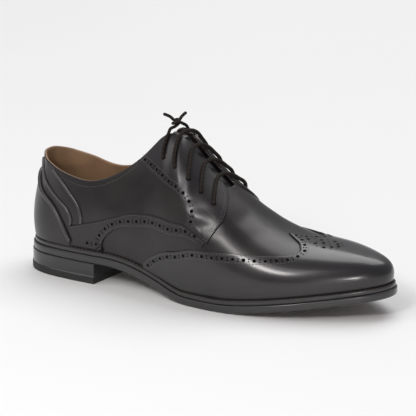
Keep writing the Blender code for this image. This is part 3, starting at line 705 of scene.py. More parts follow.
def lace_weave():
    """Waxed round lace: a braid of fine strands, from its own map of turn and length, darker between strands as
    painted shade.
    """
    finish = Finish("lace_cord", (0.016, 0.012, 0.010), 0.75, {SHINE: 0.2})
    spot = finish.node("ShaderNodeUVMap", {"uv_map": "braid"})
    across = finish.node("ShaderNodeSeparateXYZ", {}, {0: spot}, 0)
    along = finish.node("ShaderNodeSeparateXYZ", {}, {0: spot}, 1)
    left = (across * 8.0 + along * 900.0).sum("SINE")
    right = (across * 8.0 - along * 900.0).sum("SINE")
    strand_relief_and_shade = (left * right) * 0.5 + 0.5
    # Colour darker in the grooves between strands is painted shade; the same pattern also drives the real relief.
    finish.set("Base Color", finish.blend(strand_relief_and_shade, (0.006, 0.0042, 0.0034), (0.026, 0.019, 0.015)))
    finish.bump(strand_relief_and_shade, 0.00025, 0.8)
    return finish.material


BLACK = calf("black_calf", (0.0076, 0.0068, 0.0080), (0.0140, 0.0130, 0.0142), 0.38, 0.28, 0.22, 0.40)
TOE_BLACK = calf("toe_calf", (0.0076, 0.0068, 0.0080), (0.0140, 0.0130, 0.0142), 0.35, 0.62, 0.18, 0.38)
QUARTER = calf("quarter_calf", (0.0074, 0.0062, 0.0064), (0.0150, 0.0126, 0.0124), 0.38, 0.30, 0.24, 0.34)
# Lighter copy of the black calf: its light colour is painted highlight on the raised beads and the hole rims.
BEAD_HIGHLIGHT = calf("bead_calf_painted_highlight", (0.024, 0.023, 0.024), (0.042, 0.040, 0.041), 0.34, 0.3, 0.2)
# Near-black finish that paints the shade inside holes and eyelets.
HOLE_SHADE = hole_shade_finish()
THREAD = thread("black_thread", (0.060, 0.056, 0.057))
LINING = lining()
WAXED = sole_edge()
UNDERSIDE = sole_grain()
RUBBER = heel_rubber()
WELT_TOP = welt_leather()
BRAID = lace_weave()


def finished(name, points, faces, materials, replaced=(), pick=None, merge=0.0):
    """A piece of the shoe from its points and faces, riding on the shoe."""
    mesh = bpy.data.meshes.new(name)
    mesh.from_pydata(np.asarray(points, float).reshape(-1, 3).tolist(), [], faces)
    for material in materials:
        mesh.materials.append(material)
    if pick is not None:
        mesh.polygons.foreach_set("material_index", np.asarray(pick, np.int32))
    if merge:
        form = bmesh.new()
        form.from_mesh(mesh)
        bmesh.ops.remove_doubles(form, verts=form.verts, dist=merge)
        bmesh.ops.dissolve_degenerate(form, edges=form.edges, dist=merge / 10)
        form.to_mesh(mesh)
        form.free()
    mesh.shade_smooth()
    piece = bpy.data.objects.new(name, mesh)
    SCENE.collection.objects.link(piece)
    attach(piece, "root")
    if replaced:
        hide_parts(*replaced)
    return piece


def grid_faces(across, down, closed=False, start=0, flip=False):
    """Faces of a grid of points, column after column."""
    faces = []
    for i in range(across if closed else across - 1):
        j = np.arange(down - 1)
        here, there = start + i * down, start + ((i + 1) % across) * down
        corners = np.column_stack([here + j, there + j, there + j + 1, here + j + 1])
        faces.extend((corners[:, ::-1] if flip else corners).tolist())
    return faces


def ring_faces(loops, count, closed=False):
    """Faces between loops of the same count of points."""
    faces = []
    for level in range(loops if closed else loops - 1):
        low, high = level * count, ((level + 1) % loops) * count
        for j in range(count):
            k = (j + 1) % count
            faces.append([low + j, low + k, high + k, high + j])
    return faces


def capped_faces(loops, count):
    """Faces between loops, closed at both ends."""
    ends = [list(range(count))[::-1], list(range((loops - 1) * count, loops * count))]
    return ring_faces(loops, count) + ends


def outward_faces(piece):
    """Turn a closed piece's faces outwards."""
    form = bmesh.new()
    form.from_mesh(piece.data)
    bmesh.ops.recalc_face_normals(form, faces=form.faces)
    form.to_mesh(piece.data)
    form.free()


UPPER_COLUMNS = 420
UPPER_ROWS = 64
ROLL_STEPS = 6
COLLAR_END = 0.40
FACING_LINING = 0.435


def add_upper():
    """Black outside of the upper with its rolled topline, and the tan lining inside."""
    throat = girth(THROAT)
    w = columns(UPPER_COLUMNS)
    turn = throat - THROAT_TURN * np.array([0.0, 0.02, 0.08, 0.2, 0.36, 0.6, 1.0])
    edges = np.concatenate([turn, -turn])
    keep = np.min(np.abs(w[:, None] - edges), axis=1) > THROAT_TURN / 6
    w = np.sort(np.concatenate([w[keep & (np.abs(np.abs(w) - throat + THROAT_TURN / 2) > THROAT_TURN / 2)], edges]))
    rim = throat_rim(w)
    shares = np.linspace(0.0, 1.0, UPPER_ROWS)
    grid_w = np.repeat(w[:, None], UPPER_ROWS, axis=1)
    grid_v = rim[:, None] * shares
    outer = leather(grid_w, grid_v, np.zeros(grid_w.shape))
    inner = leather(grid_w, grid_v, np.full(grid_w.shape, -UPPER_WALL))
    inner[:, 0] = np.column_stack([outline_at(w, margin(w) + UPPER_WALL), outer[:, 0, 2]]) + SHIFT * [1, 1, 0]
    up = unit(outer[:, -1] - outer[:, -2])
    open_rim = (np.abs(w) < throat - 1e-9)[:, None, None]
    angle = np.linspace(0.0, np.pi, ROLL_STEPS + 1)[None, 1:-1, None]
    middle = (outer[:, -1] + inner[:, -1])[:, None] / 2
    half = (outer[:, -1] - inner[:, -1])[:, None] / 2
    roll = middle + half * np.cos(angle) + open_rim * up[:, None] * np.sin(angle) * UPPER_WALL / 2
    roll = np.where(open_rim, roll, outer[:, -1:])
    black = np.concatenate([outer, roll], axis=1)
    down = black.shape[1]
    pick = np.zeros((len(w), down - 1), int)
    pick[:, UPPER_ROWS + ROLL_STEPS // 2 - 2:] = (np.abs(w) < girth(COLLAR_END))[:, None]
    finished("upper_leather", black, grid_faces(len(w), down, True), [QUARTER, LINING], ["upper"],
             pick=pick.ravel(), merge=WELD)
    last = np.where((np.abs(w) < throat - 1e-9)[:, None, None], roll[:, -1:], inner[:, -1:])
    inside = np.concatenate([inner, last], axis=1)
    pick = np.zeros((len(w), inside.shape[1] - 1), int)
    pick[:, int(0.55 * UPPER_ROWS):] = (np.abs(w) > girth(FACING_LINING))[:, None]
    finished("upper_lining", inside, grid_faces(len(w), inside.shape[1], True, flip=True), [LINING, BLACK],
             ["upper"], pick=pick.ravel(), merge=WELD)


def panel_steps(count, size):
    """Steps across a panel from edge to edge, close together where its cut edge rounds over."""
    edge = CUT_ROUND / size * np.array([0.0, 0.0, 0.12, 0.4, 1.0])
    return np.concatenate([edge, np.linspace(edge[-1], 1 - edge[-1], count)[1:-1], 1 - edge[::-1]])


ROUND = np.array([-0.25, 0.55, 0.80, 0.96, 1.0])


def panel_lift(across, down):
    """Height over the upper for a panel's points: it falls at its cut edges."""
    profiles = [np.ones(count) for count in (across, down)]
    for profile in profiles:
        profile[:len(ROUND)], profile[-len(ROUND):] = ROUND, ROUND[::-1]
    return PANEL_LIFT * np.minimum(profiles[0][:, None], profiles[1][None])


def add_panel(name, w, v, node, finish=BLACK):
    """Panel of leather over the upper, its cut edges rounded over and let into it."""
    points = leather(w, v, panel_lift(*w.shape))
    piece = finished(name, points, grid_faces(*w.shape), [finish], [node], merge=WELD)
    form = bmesh.new()
    form.from_mesh(piece.data)
    middle = Vector(points.reshape(-1, 3).mean(axis=0))
    outwards = sum(face.normal.dot(face.calc_center_median() - middle) * face.calc_area() for face in form.faces)
    if outwards < 0:
        bmesh.ops.reverse_faces(form, faces=form.faces)
        form.to_mesh(piece.data)
    form.free()


def add_toe_cap():
    """Wing cap over the toe, both sides in one piece that meets along the ridge and the middle of the toe."""
    wing, peak = CAP_EDGE[0], CAP_EDGE[-1]
    foot_rows = [(wing[0] - WING_SLANT, 0.0), (0.5, 0.0), (0.7, 0.0), (0.9, 0.0), (1.0, 0.0)]
    tip = Track([0.0, CAP_RIDGE_SHARE, 1.0], [(girth(peak[0]), 1.0), (1.0, 1.0), (1.0, 0.0)], "steady")
    s = 1 - (1 - np.linspace(0.0, 1.0, 170))**CAP_CROWDING
    s = np.concatenate([s[:1], [0.0002, 0.001, 0.0022, 0.0036], s[1:]])
    t = panel_steps(64, 0.06)
    half = patch(edge_track(CAP_EDGE), edge_track(foot_rows), edge_track([wing, foot_rows[0]]), tip, s, t)
    w = np.concatenate([-half[..., 0], half[-2::-1, :, 0]])
    v = np.concatenate([half[..., 1], half[-2::-1, :, 1]])
    add_panel("wing_cap", w, v, "toe_cap", finish=TOE_BLACK)


def counter_height():
    """Top of the counter over the girth, level at the back."""
    edge = np.asarray(COUNTER_EDGE)
    around = girth(edge[:, 0])
    places = np.concatenate([-around[:0:-1], around])
    return Track(places, np.concatenate([edge[:0:-1, 1], edge[:, 1]]), "round"), around


def add_counter():
    """Heel counter panel round the back."""
    height, around = counter_height()
    w = np.linspace(-around[-1], around[-1], 190)
    t = panel_steps(40, 0.05)
    v = height(w)[:, None] * t
    add_panel("heel_counter", np.repeat(w[:, None], len(t), axis=1), v, "counter")


def rim_rows(first, last, count):
    """Rows along the upper's rim, held back from its edge."""
    stations = np.linspace(first, last, count)
    return [(station, rim - RIM_STEP) for station, rim in zip(stations, throat_rim(girth(stations)))]


def add_facings():
    """Derby facings on both sides of the throat, from the collar down to the band."""
    rear, front, rim = FACING_REAR, FACING_FRONT, rim_rows(FACING_REAR[0][0], FACING_FRONT[0][0], 9)
    for side, name in ((-1, "facing_lateral"), (1, "facing_medial")):
        top = edge_track(rim)
        foot = edge_track([rear[-1], front[-1]])
        start = edge_track([rim[0], *rear[1:]])
        end = edge_track([rim[-1], *front[1:]])
        grid = patch(top, foot, start, end, panel_steps(60, 0.05), panel_steps(60, 0.06))
        add_panel(name.replace("facing", "eyestay"), side * grid[..., 0], grid[..., 1], name)


def add_bands():
    """Brogued strips along the lower quarters, from the counter up over the waist to the facing's corner."""
    for side, name in ((-1, "band_lateral"), (1, "band_medial")):
        top, foot = edge_track(BAND_TOP), edge_track(BAND_FOOT)
        start, end = edge_track([BAND_TOP[0], BAND_FOOT[0]]), edge_track([BAND_TOP[-1], BAND_FOOT[-1]])
        grid = patch(top, foot, start, end, panel_steps(150, 0.13), panel_steps(12, 0.012))
        add_panel(name.replace("band", "strip"), side * grid[..., 0], grid[..., 1], name)


# Rounding of a tube's end: reach past the path's end and share of the radius left there
END_ROUND = ((0.45, 0.85), (0.8, 0.5))


def tube(points, radius, around):
    """Loops of a round tube along a path, with rounded ends, and the way along it to each loop."""
    points = np.asarray(points, float)
    way = unit(np.gradient(points, axis=0))
    side = np.cross(way[0], [0.0, 0.0, 1.0])
    if np.linalg.norm(side) < 0.1:
        side = np.cross(way[0], [0.0, 1.0, 0.0])
    sides = []
    for ahead in way:
        side = unit(side - ahead * side.dot(ahead))
        sides.append(side)
    sides = np.array(sides)[:, None]
    angle = np.linspace(0, 2 * np.pi, around, endpoint=False)[:, None]
    rings = radius * (np.cos(angle) * sides + np.sin(angle) * np.cross(way[:, None], sides))
    first = [points[0] - way[0] * reach * radius + share * rings[0] for reach, share in END_ROUND[::-1]]
    last = [points[-1] + way[-1] * reach * radius + share * rings[-1] for reach, share in END_ROUND]
    length = walked(points)
    along = np.concatenate([[length[0]] * 2, length, [length[-1]] * 2])
    return np.concatenate([first, points[:, None] + rings, last]), along


def add_tube(name, points, radius, finish, replaced=(), around=12):
    """Round cord or bead along a path."""
    loops, along = tube(points, radius, around)
    piece = finished(name, loops, capped_faces(len(loops), around), [finish], replaced)
    layer = piece.data.uv_layers.new(name="braid")
    turn = np.tile(np.arange(around) / around * 2 * np.pi, len(loops))
    index = np.empty(len(piece.data.loops), np.int32)
    piece.data.loops.foreach_get("vertex_index", index)
    uv = np.column_stack([turn[index], np.repeat(along, around)[index]])
    start, total = (np.empty(len(piece.data.polygons), np.int32) for _ in range(2))
    piece.data.polygons.foreach_get("loop_start", start)
    piece.data.polygons.foreach_get("loop_total", total)
    quads = start[total == 4]
    for k in range(4):
        wrapped = (uv[quads + k, 0] < 0.5) & (uv[quads[:, None] + np.arange(4), 0].max(axis=1) > 5.0)
        uv[quads[wrapped] + k, 0] += 2 * np.pi
    layer.data.foreach_set("uv", uv.ravel())
    outward_faces(piece)
    return piece


def lay(track, side, inset, lift, spacing=None, steps=400, span=(0.0, 1.0), phase=0.5):
    """Places along an edge on the leather, held back from it by an inset, with outward and forward directions."""
    w, v = np.moveaxis(track(np.linspace(*span, steps)), -1, 0)
    w = w * side
    step = SKIN_STEP
    half = inset / 2
    for _ in range(2 if inset else 0):
        across = np.cross(last_way(w, v), unit(np.gradient(last_point(w, v), axis=0))) * side
        dw = (last_point(w + step, v) - last_point(w - step, v)) / (2 * step)
        dv = last_point(w, np.minimum(v + step, 1)) - last_point(w, v - step)
        dv = dv / (step + np.minimum(step, 1 - v))[:, None]
        a, b, c = (dw * dw).sum(1), (dw * dv).sum(1), (dv * dv).sum(1)
        p, q = (dw * across).sum(1), (dv * across).sum(1)
        det = a * c - b * b
        w = w + half * (c * p - b * q) / det
        v = np.clip(v + half * (a * q - b * p) / det, 0.0, 1.0)
    walk = walked(last_point(w, v))
    if spacing:
        count = max(1, int(round(walk[-1] / spacing)))
        at = (np.arange(count) + phase) * walk[-1] / count
        w, v = np.interp(at, walk, w), np.interp(at, walk, v)
    place = leather(w, v, np.full(w.shape, lift))
    return place, last_way(w, v), unit(np.gradient(place, axis=0))


def copies_tree(name, kind):
    """Node tree that sets small forms on points: a stitch, a flat disc of painted shade in a hole, or a hole's rim.
    """
    tree = bpy.data.node_groups.new(name, "GeometryNodeTree")
    sorts = {"Points": "Geometry", "Length": "Float", "Width": "Float", "Height": "Float", "Finish": "Material"}
    for label, sort in sorts.items():
        tree.interface.new_socket(label, in_out="INPUT", socket_type=f"NodeSocket{sort}")
    tree.interface.new_socket("Copies", in_out="OUTPUT", socket_type="NodeSocketGeometry")
    given, end = tree.nodes.new("NodeGroupInput").outputs, tree.nodes.new("NodeGroupOutput")

    def form(sort, values, **settings):
        return add_node(tree, sort, settings, values)

    if kind == "stitch":
        model = form("GeometryNodeMeshUVSphere", {"Segments": 8, "Rings": 5, "Radius": 0.5})
    elif kind == "hole":
        model = form("GeometryNodeMeshCircle", {"Vertices": 14, "Radius": 0.5}, fill_type="TRIANGLE_FAN")
    else:
        ring, profile = (form("GeometryNodeCurvePrimitiveCircle", {"Resolution": count, "Radius": radius})
                         for count, radius in ((14, 0.5), (5, 0.045)))
        model = form("GeometryNodeCurveToMesh", {"Curve": ring, "Profile Curve": profile})
    size = form("ShaderNodeCombineXYZ", {"X": given["Length"], "Y": given["Width"], "Z": given["Height"]})
    out, way = (form("GeometryNodeInputNamedAttribute", {"Name": key}, data_type="FLOAT_VECTOR")
                for key in ("out", "way"))
    turn = form("FunctionNodeAxesToRotation", {"Primary Axis": out, "Secondary Axis": way},
                primary_axis="Z", secondary_axis="X")
    made = form("GeometryNodeInstanceOnPoints", {
        "Points": given["Points"], "Instance": model, "Rotation": turn, "Scale": size,
    })
    made = form("GeometryNodeRealizeInstances", {"Geometry": made})
    made = form("GeometryNodeSetShadeSmooth", {"Geometry": made})
    made = form("GeometryNodeSetMaterial", {"Geometry": made, "Material": given["Finish"]})
    tree.links.new(made, end.inputs["Copies"])
    return tree


TREES = {kind: copies_tree(f"{kind}_copies", kind) for kind in ("stitch", "hole", "rim")}


def add_copies(name, kind, rows, size, finish, slot):
    """Copies of a small form at places with outward and forward directions, as one plain mesh."""
    place, out, way = (np.concatenate([row[k] for row in rows]) for k in range(3))
    mesh = bpy.data.meshes.new(name)
    mesh.from_pydata(place.tolist(), [], [])
    for key, values in (("out", out), ("way", way)):
        layer = mesh.attributes.new(key, "FLOAT_VECTOR", "POINT")
        layer.data.foreach_set("vector", values.ravel())
    piece = bpy.data.objects.new(name, mesh)
    SCENE.collection.objects.link(piece)
    modifier = piece.modifiers.new("copies", "NODES")
    modifier.node_group = TREES[kind]
    sockets = {item.name: item.identifier for item in TREES[kind].interface.items_tree if item.in_out == "INPUT"}
    for label, value in zip(("Length", "Width", "Height"), size):
        modifier[sockets[label]] = value
    modifier[sockets["Finish"]] = finish
    ready = piece.evaluated_get(bpy.context.evaluated_depsgraph_get())
    made = bpy.data.meshes.new_from_object(ready)
    made.name = name
    piece.modifiers.clear()
    piece.data = made
    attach(piece, "root")


STITCHES = []
HOLES = []
PINHOLES = []
EYES = []


def stitch_row(track, side, inset, lift=PANEL_LIFT, **more):
    """Row of stitches along an edge."""
    STITCHES.append(lay(track, side, inset, lift - STITCH_SINK, STITCH_STEP, **more))


def brogue_row(track, side, inset, **more):
    """Row of punched holes with a pair of pinholes between them."""
    lift = PANEL_LIFT + HOLE_RISE
    HOLES.append(lay(track, side, inset, lift, HOLE_STEP, **more))
    place, out, way = (rows[:-1] for rows in lay(track, side, inset, lift, HOLE_STEP, phase=1.0, **more))
    across = np.cross(out, way)
    for offset in (-PINHOLE_OFFSET, PINHOLE_OFFSET):
        PINHOLES.append((place + across * offset, out, way))


def add_trim():
    """Stitches, punched holes and pinholes on all panels."""
    HOLES.append(medallion(MEDALLION_LARGE))
    PINHOLES.append(medallion(MEDALLION_SMALL))
    edges = (CAP_EDGE, FACING_REAR, FACING_FRONT, BAND_TOP, BAND_FOOT)
    cap, rear, front, top, foot = (edge_track(rows) for rows in edges)
    for side in (-1, 1):
        stitch_row(edge_track(COLLAR_LINE, "round"), side, 0.0, 0.0)
        for inset in (0.0014, 0.0062):
            stitch_row(cap, side, inset)
        brogue_row(cap, side, 0.0038)
        for inset in (0.0014, 0.0060):
            stitch_row(rear, side, -inset, span=(0.06, 1.0))
        brogue_row(rear, side, -0.0037, span=(0.07, 1.0))
        for inset in (0.0014, 0.0034):
            stitch_row(front, side, inset)
        stitch_row(top, side, 0.0013, span=(0.0, 0.97))
        stitch_row(foot, side, -0.0013, span=(0.08, 0.97))
        brogue_row(foot, side, -0.0045, span=(0.06, 0.97))


# Medallion on the cap: forward and sideways from its middle, in metres
MEDALLION_MIDDLE = 0.2475
MEDALLION_LARGE = (
    (0.0, 0.0), (-0.0120, 0.0), (0.0120, 0.0), (0.0062, 0.0058), (0.0062, -0.0058), (-0.0062, 0.0058),
    (-0.0062, -0.0058), (0.0, 0.0108), (0.0, -0.0108),
)
MEDALLION_SMALL = (
    (0.0050, 0.0), (-0.0050, 0.0), (0.0, 0.0048), (0.0, -0.0048), (0.0105, 0.0052), (0.0105, -0.0052),
    (-0.0105, 0.0052), (-0.0105, -0.0052), (0.0052, 0.0108), (0.0052, -0.0108), (-0.0052, 0.0108),
    (-0.0052, -0.0108),
)


def medallion(rows):
    """Places of the medallion's holes on the cap."""
    around = np.linspace(0.6, 0.999, 400)
    rows = np.asarray(rows)
    w = np.interp(MEDALLION_MIDDLE + rows[:, 0], CREST_PATH(around)[:, 0], around)
    speed = np.linalg.norm(last_point(w, 1.0) - last_point(w, 0.95), axis=1) / 0.05
    v = np.minimum(1 - np.abs(rows[:, 1]) / speed, 0.999)
    w = w * np.where(rows[:, 1] < 0, -1, 1)
    place = leather(w, v, np.full(w.shape, PANEL_LIFT + HOLE_RISE))
    return place, last_way(w, v), np.tile([1.0, 0.0, 0.0], (len(w), 1))


def add_beads():
    """Raised beads, coloured lighter as painted highlight: one round the back along the counter's edge, two over
    each side of the quarter.
    """
    height, around = counter_height()
    w = np.linspace(-BEAD_REACH * around[-1], BEAD_REACH * around[-1], 240)
    radius, rise = COUNTER_BEAD
    add_tube("counter_bead", leather(w, height(w), np.full(w.shape, rise)), radius, BEAD_HIGHLIGHT)
    radius, rise = QUARTER_BEAD
    for side, label in ((-1, "outer"), (1, "inner")):
        for number, rows in enumerate(BEADS, start=1):
            place = lay(edge_track(rows, "round"), side, 0.0, rise, steps=110, span=(0.004, 0.99))[0]
            add_tube(f"bead_{number}_{label}", place, radius, BEAD_HIGHLIGHT)


def add_tongue():
    """Tongue under the facings, with a rounded tip."""
    stations = np.linspace(TONGUE_FOOT, TONGUE_TOP, 70)
    across = np.linspace(-1.0, 1.0, 41)
    w = girth(stations)[:, None] * np.where(across < 0, -1.0, 1.0)
    v = 1 - TONGUE_REACH * np.abs(across)[None] * np.ones((len(stations), 1))
    under = UPPER_WALL + TONGUE_CLEARANCE
    sheets = []
    for depth in (under, under + TONGUE):
        grid = leather(w, v, np.full(v.shape, -depth))
        last = grid[-1]
        middle = last[20]
        tips = []
        for share in np.linspace(0.1, 1.0, 10):
            width = math.sqrt(1 - (0.90 * share)**2)
            tips.append(middle + (last - middle) * np.array([1.0, width, 1.0]) + np.array(TONGUE_TIP) * share)
        sheets.append(np.concatenate([grid, tips]))
    outer, inner = sheets
    rows, count = outer.shape[:2]
    loop = [(0, j) for j in range(count)] + [(i, count - 1) for i in range(1, rows)]
    loop += [(rows - 1, j) for j in range(count - 2, -1, -1)] + [(i, 0) for i in range(rows - 2, 0, -1)]
    middle = (outer + inner) / 2
    centre = middle[rows // 2, count // 2]
    points = [outer.reshape(-1, 3), inner.reshape(-1, 3)]
    faces = grid_faces(rows, count) + grid_faces(rows, count, start=rows * count, flip=True)
    n = 2 * rows * count
    sides = np.array([outer[i, j] for i, j in loop]), np.array([inner[i, j] for i, j in loop])
    mid = (sides[0] + sides[1]) / 2
    out = np.cross(np.gradient(mid, axis=0), sides[0] - sides[1])
    out = out / np.maximum(np.linalg.norm(out, axis=1, keepdims=True), 1e-9)
    out = out * np.sign(np.sum(out * (mid - centre), axis=1, keepdims=True).mean())
    bulge = [mid + (sides[0] - mid) * math.cos(a) + out * TONGUE / 2 * math.sin(a) for a in (0.8, 1.57, 2.34)]
    points += bulge
    outer_index = [i * count + j for i, j in loop]
    rings = [outer_index] + [[n + k * len(loop) + m for m in range(len(loop))] for k in range(3)]
    rings.append([rows * count + i for i in outer_index])
    for a, b in zip(rings, rings[1:]):
        for m in range(len(loop)):
            k = (m + 1) % len(loop)
            faces.append([a[m], a[k], b[k], b[m]])
    piece = finished("tongue_leather", np.concatenate(points), faces, [BLACK], ["tongue"])
    outward_faces(piece)


SOLE_COLUMNS = 420


def stack_faces(loops, count):
    """Faces between the sole's loops, with caps across from the outer to the inner side."""
    faces = ring_faces(loops, count)
    for base in (0, (loops - 1) * count):
        for j in range(count // 2):
            ends = [j, j + 1, (count - j - 1) % count, (count - j) % count]
            faces.append([base + i for i in dict.fromkeys(ends)])
    return faces


def sole_loops(w, rows):
    """Loops of the sole from rows of inset and rise."""
    return [standing(outline_at(w, np.full(len(w), inset) if np.isscalar(inset) else inset), rise) + SHIFT
            for inset, rise in rows]


def add_sole():
    """Outsole, welt and sock, with their rounded edges, and the stitches on the welt."""
    w = columns(SOLE_COLUMNS)

    def layer(name, rows, finishes, slot, node, faces):
        piece = finished(name, sole_loops(w, rows), faces(len(rows), len(w)), finishes, [node])
        outward_faces(piece)
        return piece.data.polygons

    r = EDGE_ROUND
    rows = [(r, 0.0), (0.55 * r, 0.10 * r), (0.2 * r, 0.4 * r), (0.0, r), (-EDGE_SWELL, 0.4 * OUTSOLE),
            (-EDGE_SWELL, 0.6 * OUTSOLE), (0.0, OUTSOLE - r), (0.15 * r, OUTSOLE - 0.4 * r),
            (0.5 * r, OUTSOLE - 0.1 * r), (r, OUTSOLE), (0.008, OUTSOLE)]
    for face in layer("outsole_edge", rows, [WAXED, UNDERSIDE], "sole_leather", "outsole", stack_faces):
        if face.normal.z < -0.8:
            face.material_index = 1
    base = OUTSOLE + GAP
    high = base + WELT
    inner = margin(w) + UPPER_WALL
    edge = WELT_STEP
    rows = [(inner, base), (edge + 0.4 * r, base - GAP), (edge, base + 0.4 * r), (edge, base + 0.6 * WELT),
            (edge + 0.1 * r, high - 0.5 * r), (edge + 0.4 * r, high - 0.12 * r), (edge + r, high),
            (margin(w) - 0.0008, high), (margin(w) - 0.0003, high - 0.0002), (inner, high)]
    for face in layer("welt_strip", rows, [WAXED, WELT_TOP], "sole_leather", "welt",
                      lambda loops, count: ring_faces(loops, count, True)):
        face.material_index = int(face.normal.z > 0.6)
    inside = inner + 2 * GAP
    floor = high + INSOLE_BOARD
    rows = [(inside, base), (inside, floor - 0.0009), (inside + 0.0003, floor - 0.0003), (inside + 0.0009, floor),
            (inside + 0.004, floor - 0.0001), (inside + 0.012, floor - 0.0004)]
    layer("sock_lining", rows, [LINING], "lining_leather", "insole", stack_faces)
    at = np.linspace(-1, 1, 2400)
    line = sole_loops(at, [((WELT_STEP + EDGE_ROUND + margin(at)) / 2 + 0.0002, high + 0.00012)])[0]
    walk = walked(line)
    steps = (np.arange(int(walk[-1] / WELT_STITCH_STEP)) + 0.5) * WELT_STITCH_STEP
    place = np.column_stack([np.interp(steps, walk, line[:, k]) for k in range(3)])
    way = unit(np.gradient(place, axis=0))
    out = np.cross(way, np.cross([0.0, 0.0, 1.0], way))
    add_copies("welt_stitches", "stitch", [(place, out, way)], WELT_STITCH, THREAD, "sole_leather")


def breast(side):
    """Place round the girth where the heel's breast line meets the outline."""
    w = side * girth(np.linspace(0.1, 0.4, 801))
    points = OUTLINE(w)
    line = HEEL_LENGTH + BREAST_SKEW * points[:, 1] / HEEL_WIDTH
    return w[np.argmax(points[:, 0] > line)]


def add_heel():
    """Top lift and stacked block under the heel seat."""
    w = np.linspace(breast(-1), breast(1), 181)

    def outline(inset, height):
        points = outline_at(w, np.full(len(w), inset))
        points[[0, -1]] = OUTLINE(w[[0, -1]]) - outward(w[[0, -1]]) * [0, inset]
        return np.column_stack([points, np.full(len(w), height)]) + SHIFT

    def block(name, rows, finish, node):
        loops = [outline(inset, height) for inset, height in rows]
        piece = finished(name, loops, capped_faces(len(loops), len(w)), [finish], [node])
        outward_faces(piece)
        piece.data.set_sharp_from_angle(angle=math.radians(40))

    low = TOP_LIFT + GAP
    high = low + HEEL_STACK
    flare = -HEEL_FLARE
    lean = flare / 2
    lift = [(flare + 0.0005, 0.0), (flare + 0.0001, 0.0003), (flare, 0.0009), (flare, TOP_LIFT - 0.0003),
            (flare + 0.0003, TOP_LIFT)]
    block("heel_top_lift", lift, RUBBER, "top_lift")
    stack = [(flare + 0.0002, low - GAP), (lean + 0.00004, low + 0.0001), (lean, low + 0.0004),
             (lean, high - 0.0004), (lean + 0.00004, high - 0.0001), (0.0003, high + GAP)]
    block("heel_stack", stack, WAXED, "heel_block")


def path_points(points, count):
    """Points of a smooth curve through others."""
    walk = walked(points)
    return Track(walk, points, "round")(np.linspace(0.0, walk[-1], count))


def bar_route(outer, inner):
    """Line of a lace bar: out of one eyelet, over both facings and into the other."""
    lift = PANEL_LIFT + BAR / 2 + 0.0001
    route = []
    for side, (station, share) in ((-1, outer), (1, inner)):
        w = girth(station)
        rim = throat_rim([w])[0]
        shares = np.array([share - 0.004, share, share + 0.03, (share + rim) / 2, rim - RIM_STEP])
        lifts = np.array([-0.0012, 0.0006, lift, lift, lift])
        points = leather(np.full(5, side * w), shares, lifts)
        route.append(points[::-side])
    return np.concatenate(route)


def add_laces():
    """Lower lace bars through the eyelets, and the places of the discs of painted shade inside all eyelets."""
    for number, (outer, inner) in enumerate(EYELETS, start=1):
        if number > 1:
            route = path_points(bar_route(outer, inner), 90)
            add_tube(f"lace_{number}", route, BAR / 2, BRAID, [f"lace_bar_{number}"], 16)
        for side, (station, share) in ((-1, outer), (1, inner)):
            w, v = np.array([side * girth(station)]), np.array([share])
            spot = leather(w, v, np.array([PANEL_LIFT + 0.0001]))
            EYES.append((spot, last_way(w, v), np.array([[1.0, 0.0, 0.0]])))


# Turns of each tie in the knot, from the bar's middle: past the middle, forward and up, in metres
KNOT_TURNS = (
    (-0.0062, 0.0000, 0.0000), (-0.0026, 0.0008, 0.0006), (0.0004, 0.00130, 0.0018), (0.0031, 0.0006, 0.0032),
    (0.0018, -0.0008, 0.0045), (-0.0008, -0.00125, 0.0047),
)


def add_knot():
    """Two ties from the top eyelets that knot over the top bar's middle and end short and bare."""
    whole = path_points(bar_route(*EYELETS[0]), 91)
    middle = whole[45]
    up = unit(np.array(KNOT_WAY))
    across = unit(whole[50] - whole[40])
    up = unit(up - across * up.dot(across))
    forward = np.cross(across, up)
    ties = (("lace_tie_outer", END_OUTER, whole, 1, "lace_end_outer"),
            ("lace_tie_inner", END_INNER, whole[::-1], -1, "lace_end_inner"))
    for name, way, line, turn, node in ties:
        way = unit(np.array(way))
        walk = np.linalg.norm(line - middle, axis=1)
        come = line[:45][walk[:45] > 0.0085][::4]
        knot = np.array([middle + turn * (b * across + a * forward) + n * up for b, a, n in KNOT_TURNS])
        last = knot[-1] + way * 0.0012
        tail = [last + way * TIE_END * k + np.array([0.0, 0.0, -0.2]) * TIE_END * k * k for k in (0.25, 0.6, 1.0)]
        points = path_points(np.concatenate([come, knot, tail]), 130)
        piece = add_tube(name, points, LACE / 2, BRAID, ["lace_bar_1", "lace_knot", node], 14)


FLOOR_SIZE = 6.0


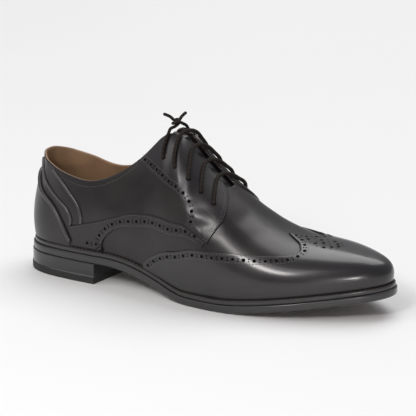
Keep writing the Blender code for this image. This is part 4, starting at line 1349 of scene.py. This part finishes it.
def add_stage():
    """Plain pale floor, soft studio lights and the camera."""
    mesh = bpy.data.meshes.new("floor")
    half = FLOOR_SIZE / 2
    mesh.from_pydata([(-half, -half, 0), (half, -half, 0), (half, half, 0), (-half, half, 0)], [], [(0, 1, 2, 3)])
    floor = bpy.data.objects.new("floor", mesh)
    SCENE.collection.objects.link(floor)
    paper = Finish("pale_floor", (0.86, 0.86, 0.865), 0.6)
    paper.set("Base Color", paper.blend(paper.noise(3.0, 2.0), (0.85, 0.85, 0.855), (0.88, 0.88, 0.885)))
    mesh.materials.append(paper.material)
    world = bpy.data.worlds.new("studio")
    SCENE.world = world
    world.use_nodes = True
    world.node_tree.nodes["Background"].inputs["Color"].default_value = (0.985, 0.975, 1.0, 1.0)
    world.node_tree.nodes["Background"].inputs["Strength"].default_value = WORLD_LIGHT
    for name, spot, aim, size, power, tint in LIGHTS:
        lamp = bpy.data.lights.new(name, "AREA")
        lamp.shape = "RECTANGLE"
        lamp.size, lamp.size_y = size
        lamp.energy = power
        lamp.color = tint
        stand = bpy.data.objects.new(name, lamp)
        stand.location = spot
        stand.rotation_euler = (Vector(aim) - Vector(spot)).to_track_quat("-Z", "Y").to_euler()
        SCENE.collection.objects.link(stand)
    camera = bpy.data.cameras.new("camera")
    camera.lens = CAMERA_LENS
    stand = bpy.data.objects.new("camera", camera)
    turn, rise = math.radians(CAMERA_TURN), math.radians(CAMERA_RISE)
    back = Vector((math.sin(turn) * math.cos(rise), -math.cos(turn) * math.cos(rise), math.sin(rise)))
    stand.location = Vector(CAMERA_AIM) + back * CAMERA_DISTANCE
    stand.rotation_euler = (-back).to_track_quat("-Z", "Y").to_euler()
    SCENE.collection.objects.link(stand)
    SCENE.camera = stand
    SCENE.view_settings.view_transform = "Standard"


# Lights: name, place, aim, size, power, tint
LIGHTS = (
    ("overhead", (-0.15, 1.9, 3.0), (-0.15, 1.5, 0.0), (2.8, 3.0), 80.0, (1.0, 1.0, 1.0)),
    ("front_box", (-0.66, -1.25, 1.60), (0.0, 0.0, 0.06), (2.7, 1.0), 18.0, (1.0, 0.985, 0.965)),
    ("facing_box", (0.10, -1.62, 1.22), (0.05, 0.0, 0.08), (0.38, 0.38), 10.5, (1.0, 0.98, 0.95)),
    ("right_spot", (1.27, -1.55, 0.22), (0.10, 0.0, 0.03), (0.15, 0.15), 5.4, (1.0, 0.98, 0.95)),
)
WORLD_LIGHT = 0.28
CAMERA_TURN = 29.0
CAMERA_RISE = 16.0
CAMERA_DISTANCE = 2.2
CAMERA_LENS = 254.0
CAMERA_AIM = (-0.002, 0.0, 0.062)

add_upper()
add_toe_cap()
add_counter()
add_facings()
add_bands()
add_beads()
add_tongue()
add_sole()
add_heel()
add_laces()
add_knot()
add_trim()
COPIES = (
    ("panel_stitches", "stitch", STITCHES, (0.0020, 0.0005, 0.0004), THREAD),
    # Hole and pinhole copies are near-black discs of painted shade; the rims in the lighter bead leather are painted
    # highlight.
    ("brogue_holes", "hole", HOLES, (0.0026, 0.0026, 1.0), HOLE_SHADE),
    ("brogue_rims", "rim", HOLES, (0.0027, 0.0027, 0.0027), BEAD_HIGHLIGHT),
    ("pinholes", "hole", PINHOLES, (0.0011, 0.0011, 1.0), HOLE_SHADE),
    # Eyelet hole copies are near-black discs of painted shade.
    ("eyelet_holes", "hole", EYES, (0.0040, 0.0040, 1.0), HOLE_SHADE),
    ("eyelet_rims", "rim", EYES, (0.0040, 0.0040, 0.0040), BLACK),
)
for row in COPIES:
    add_copies(*row, "black_leather")
add_stage()
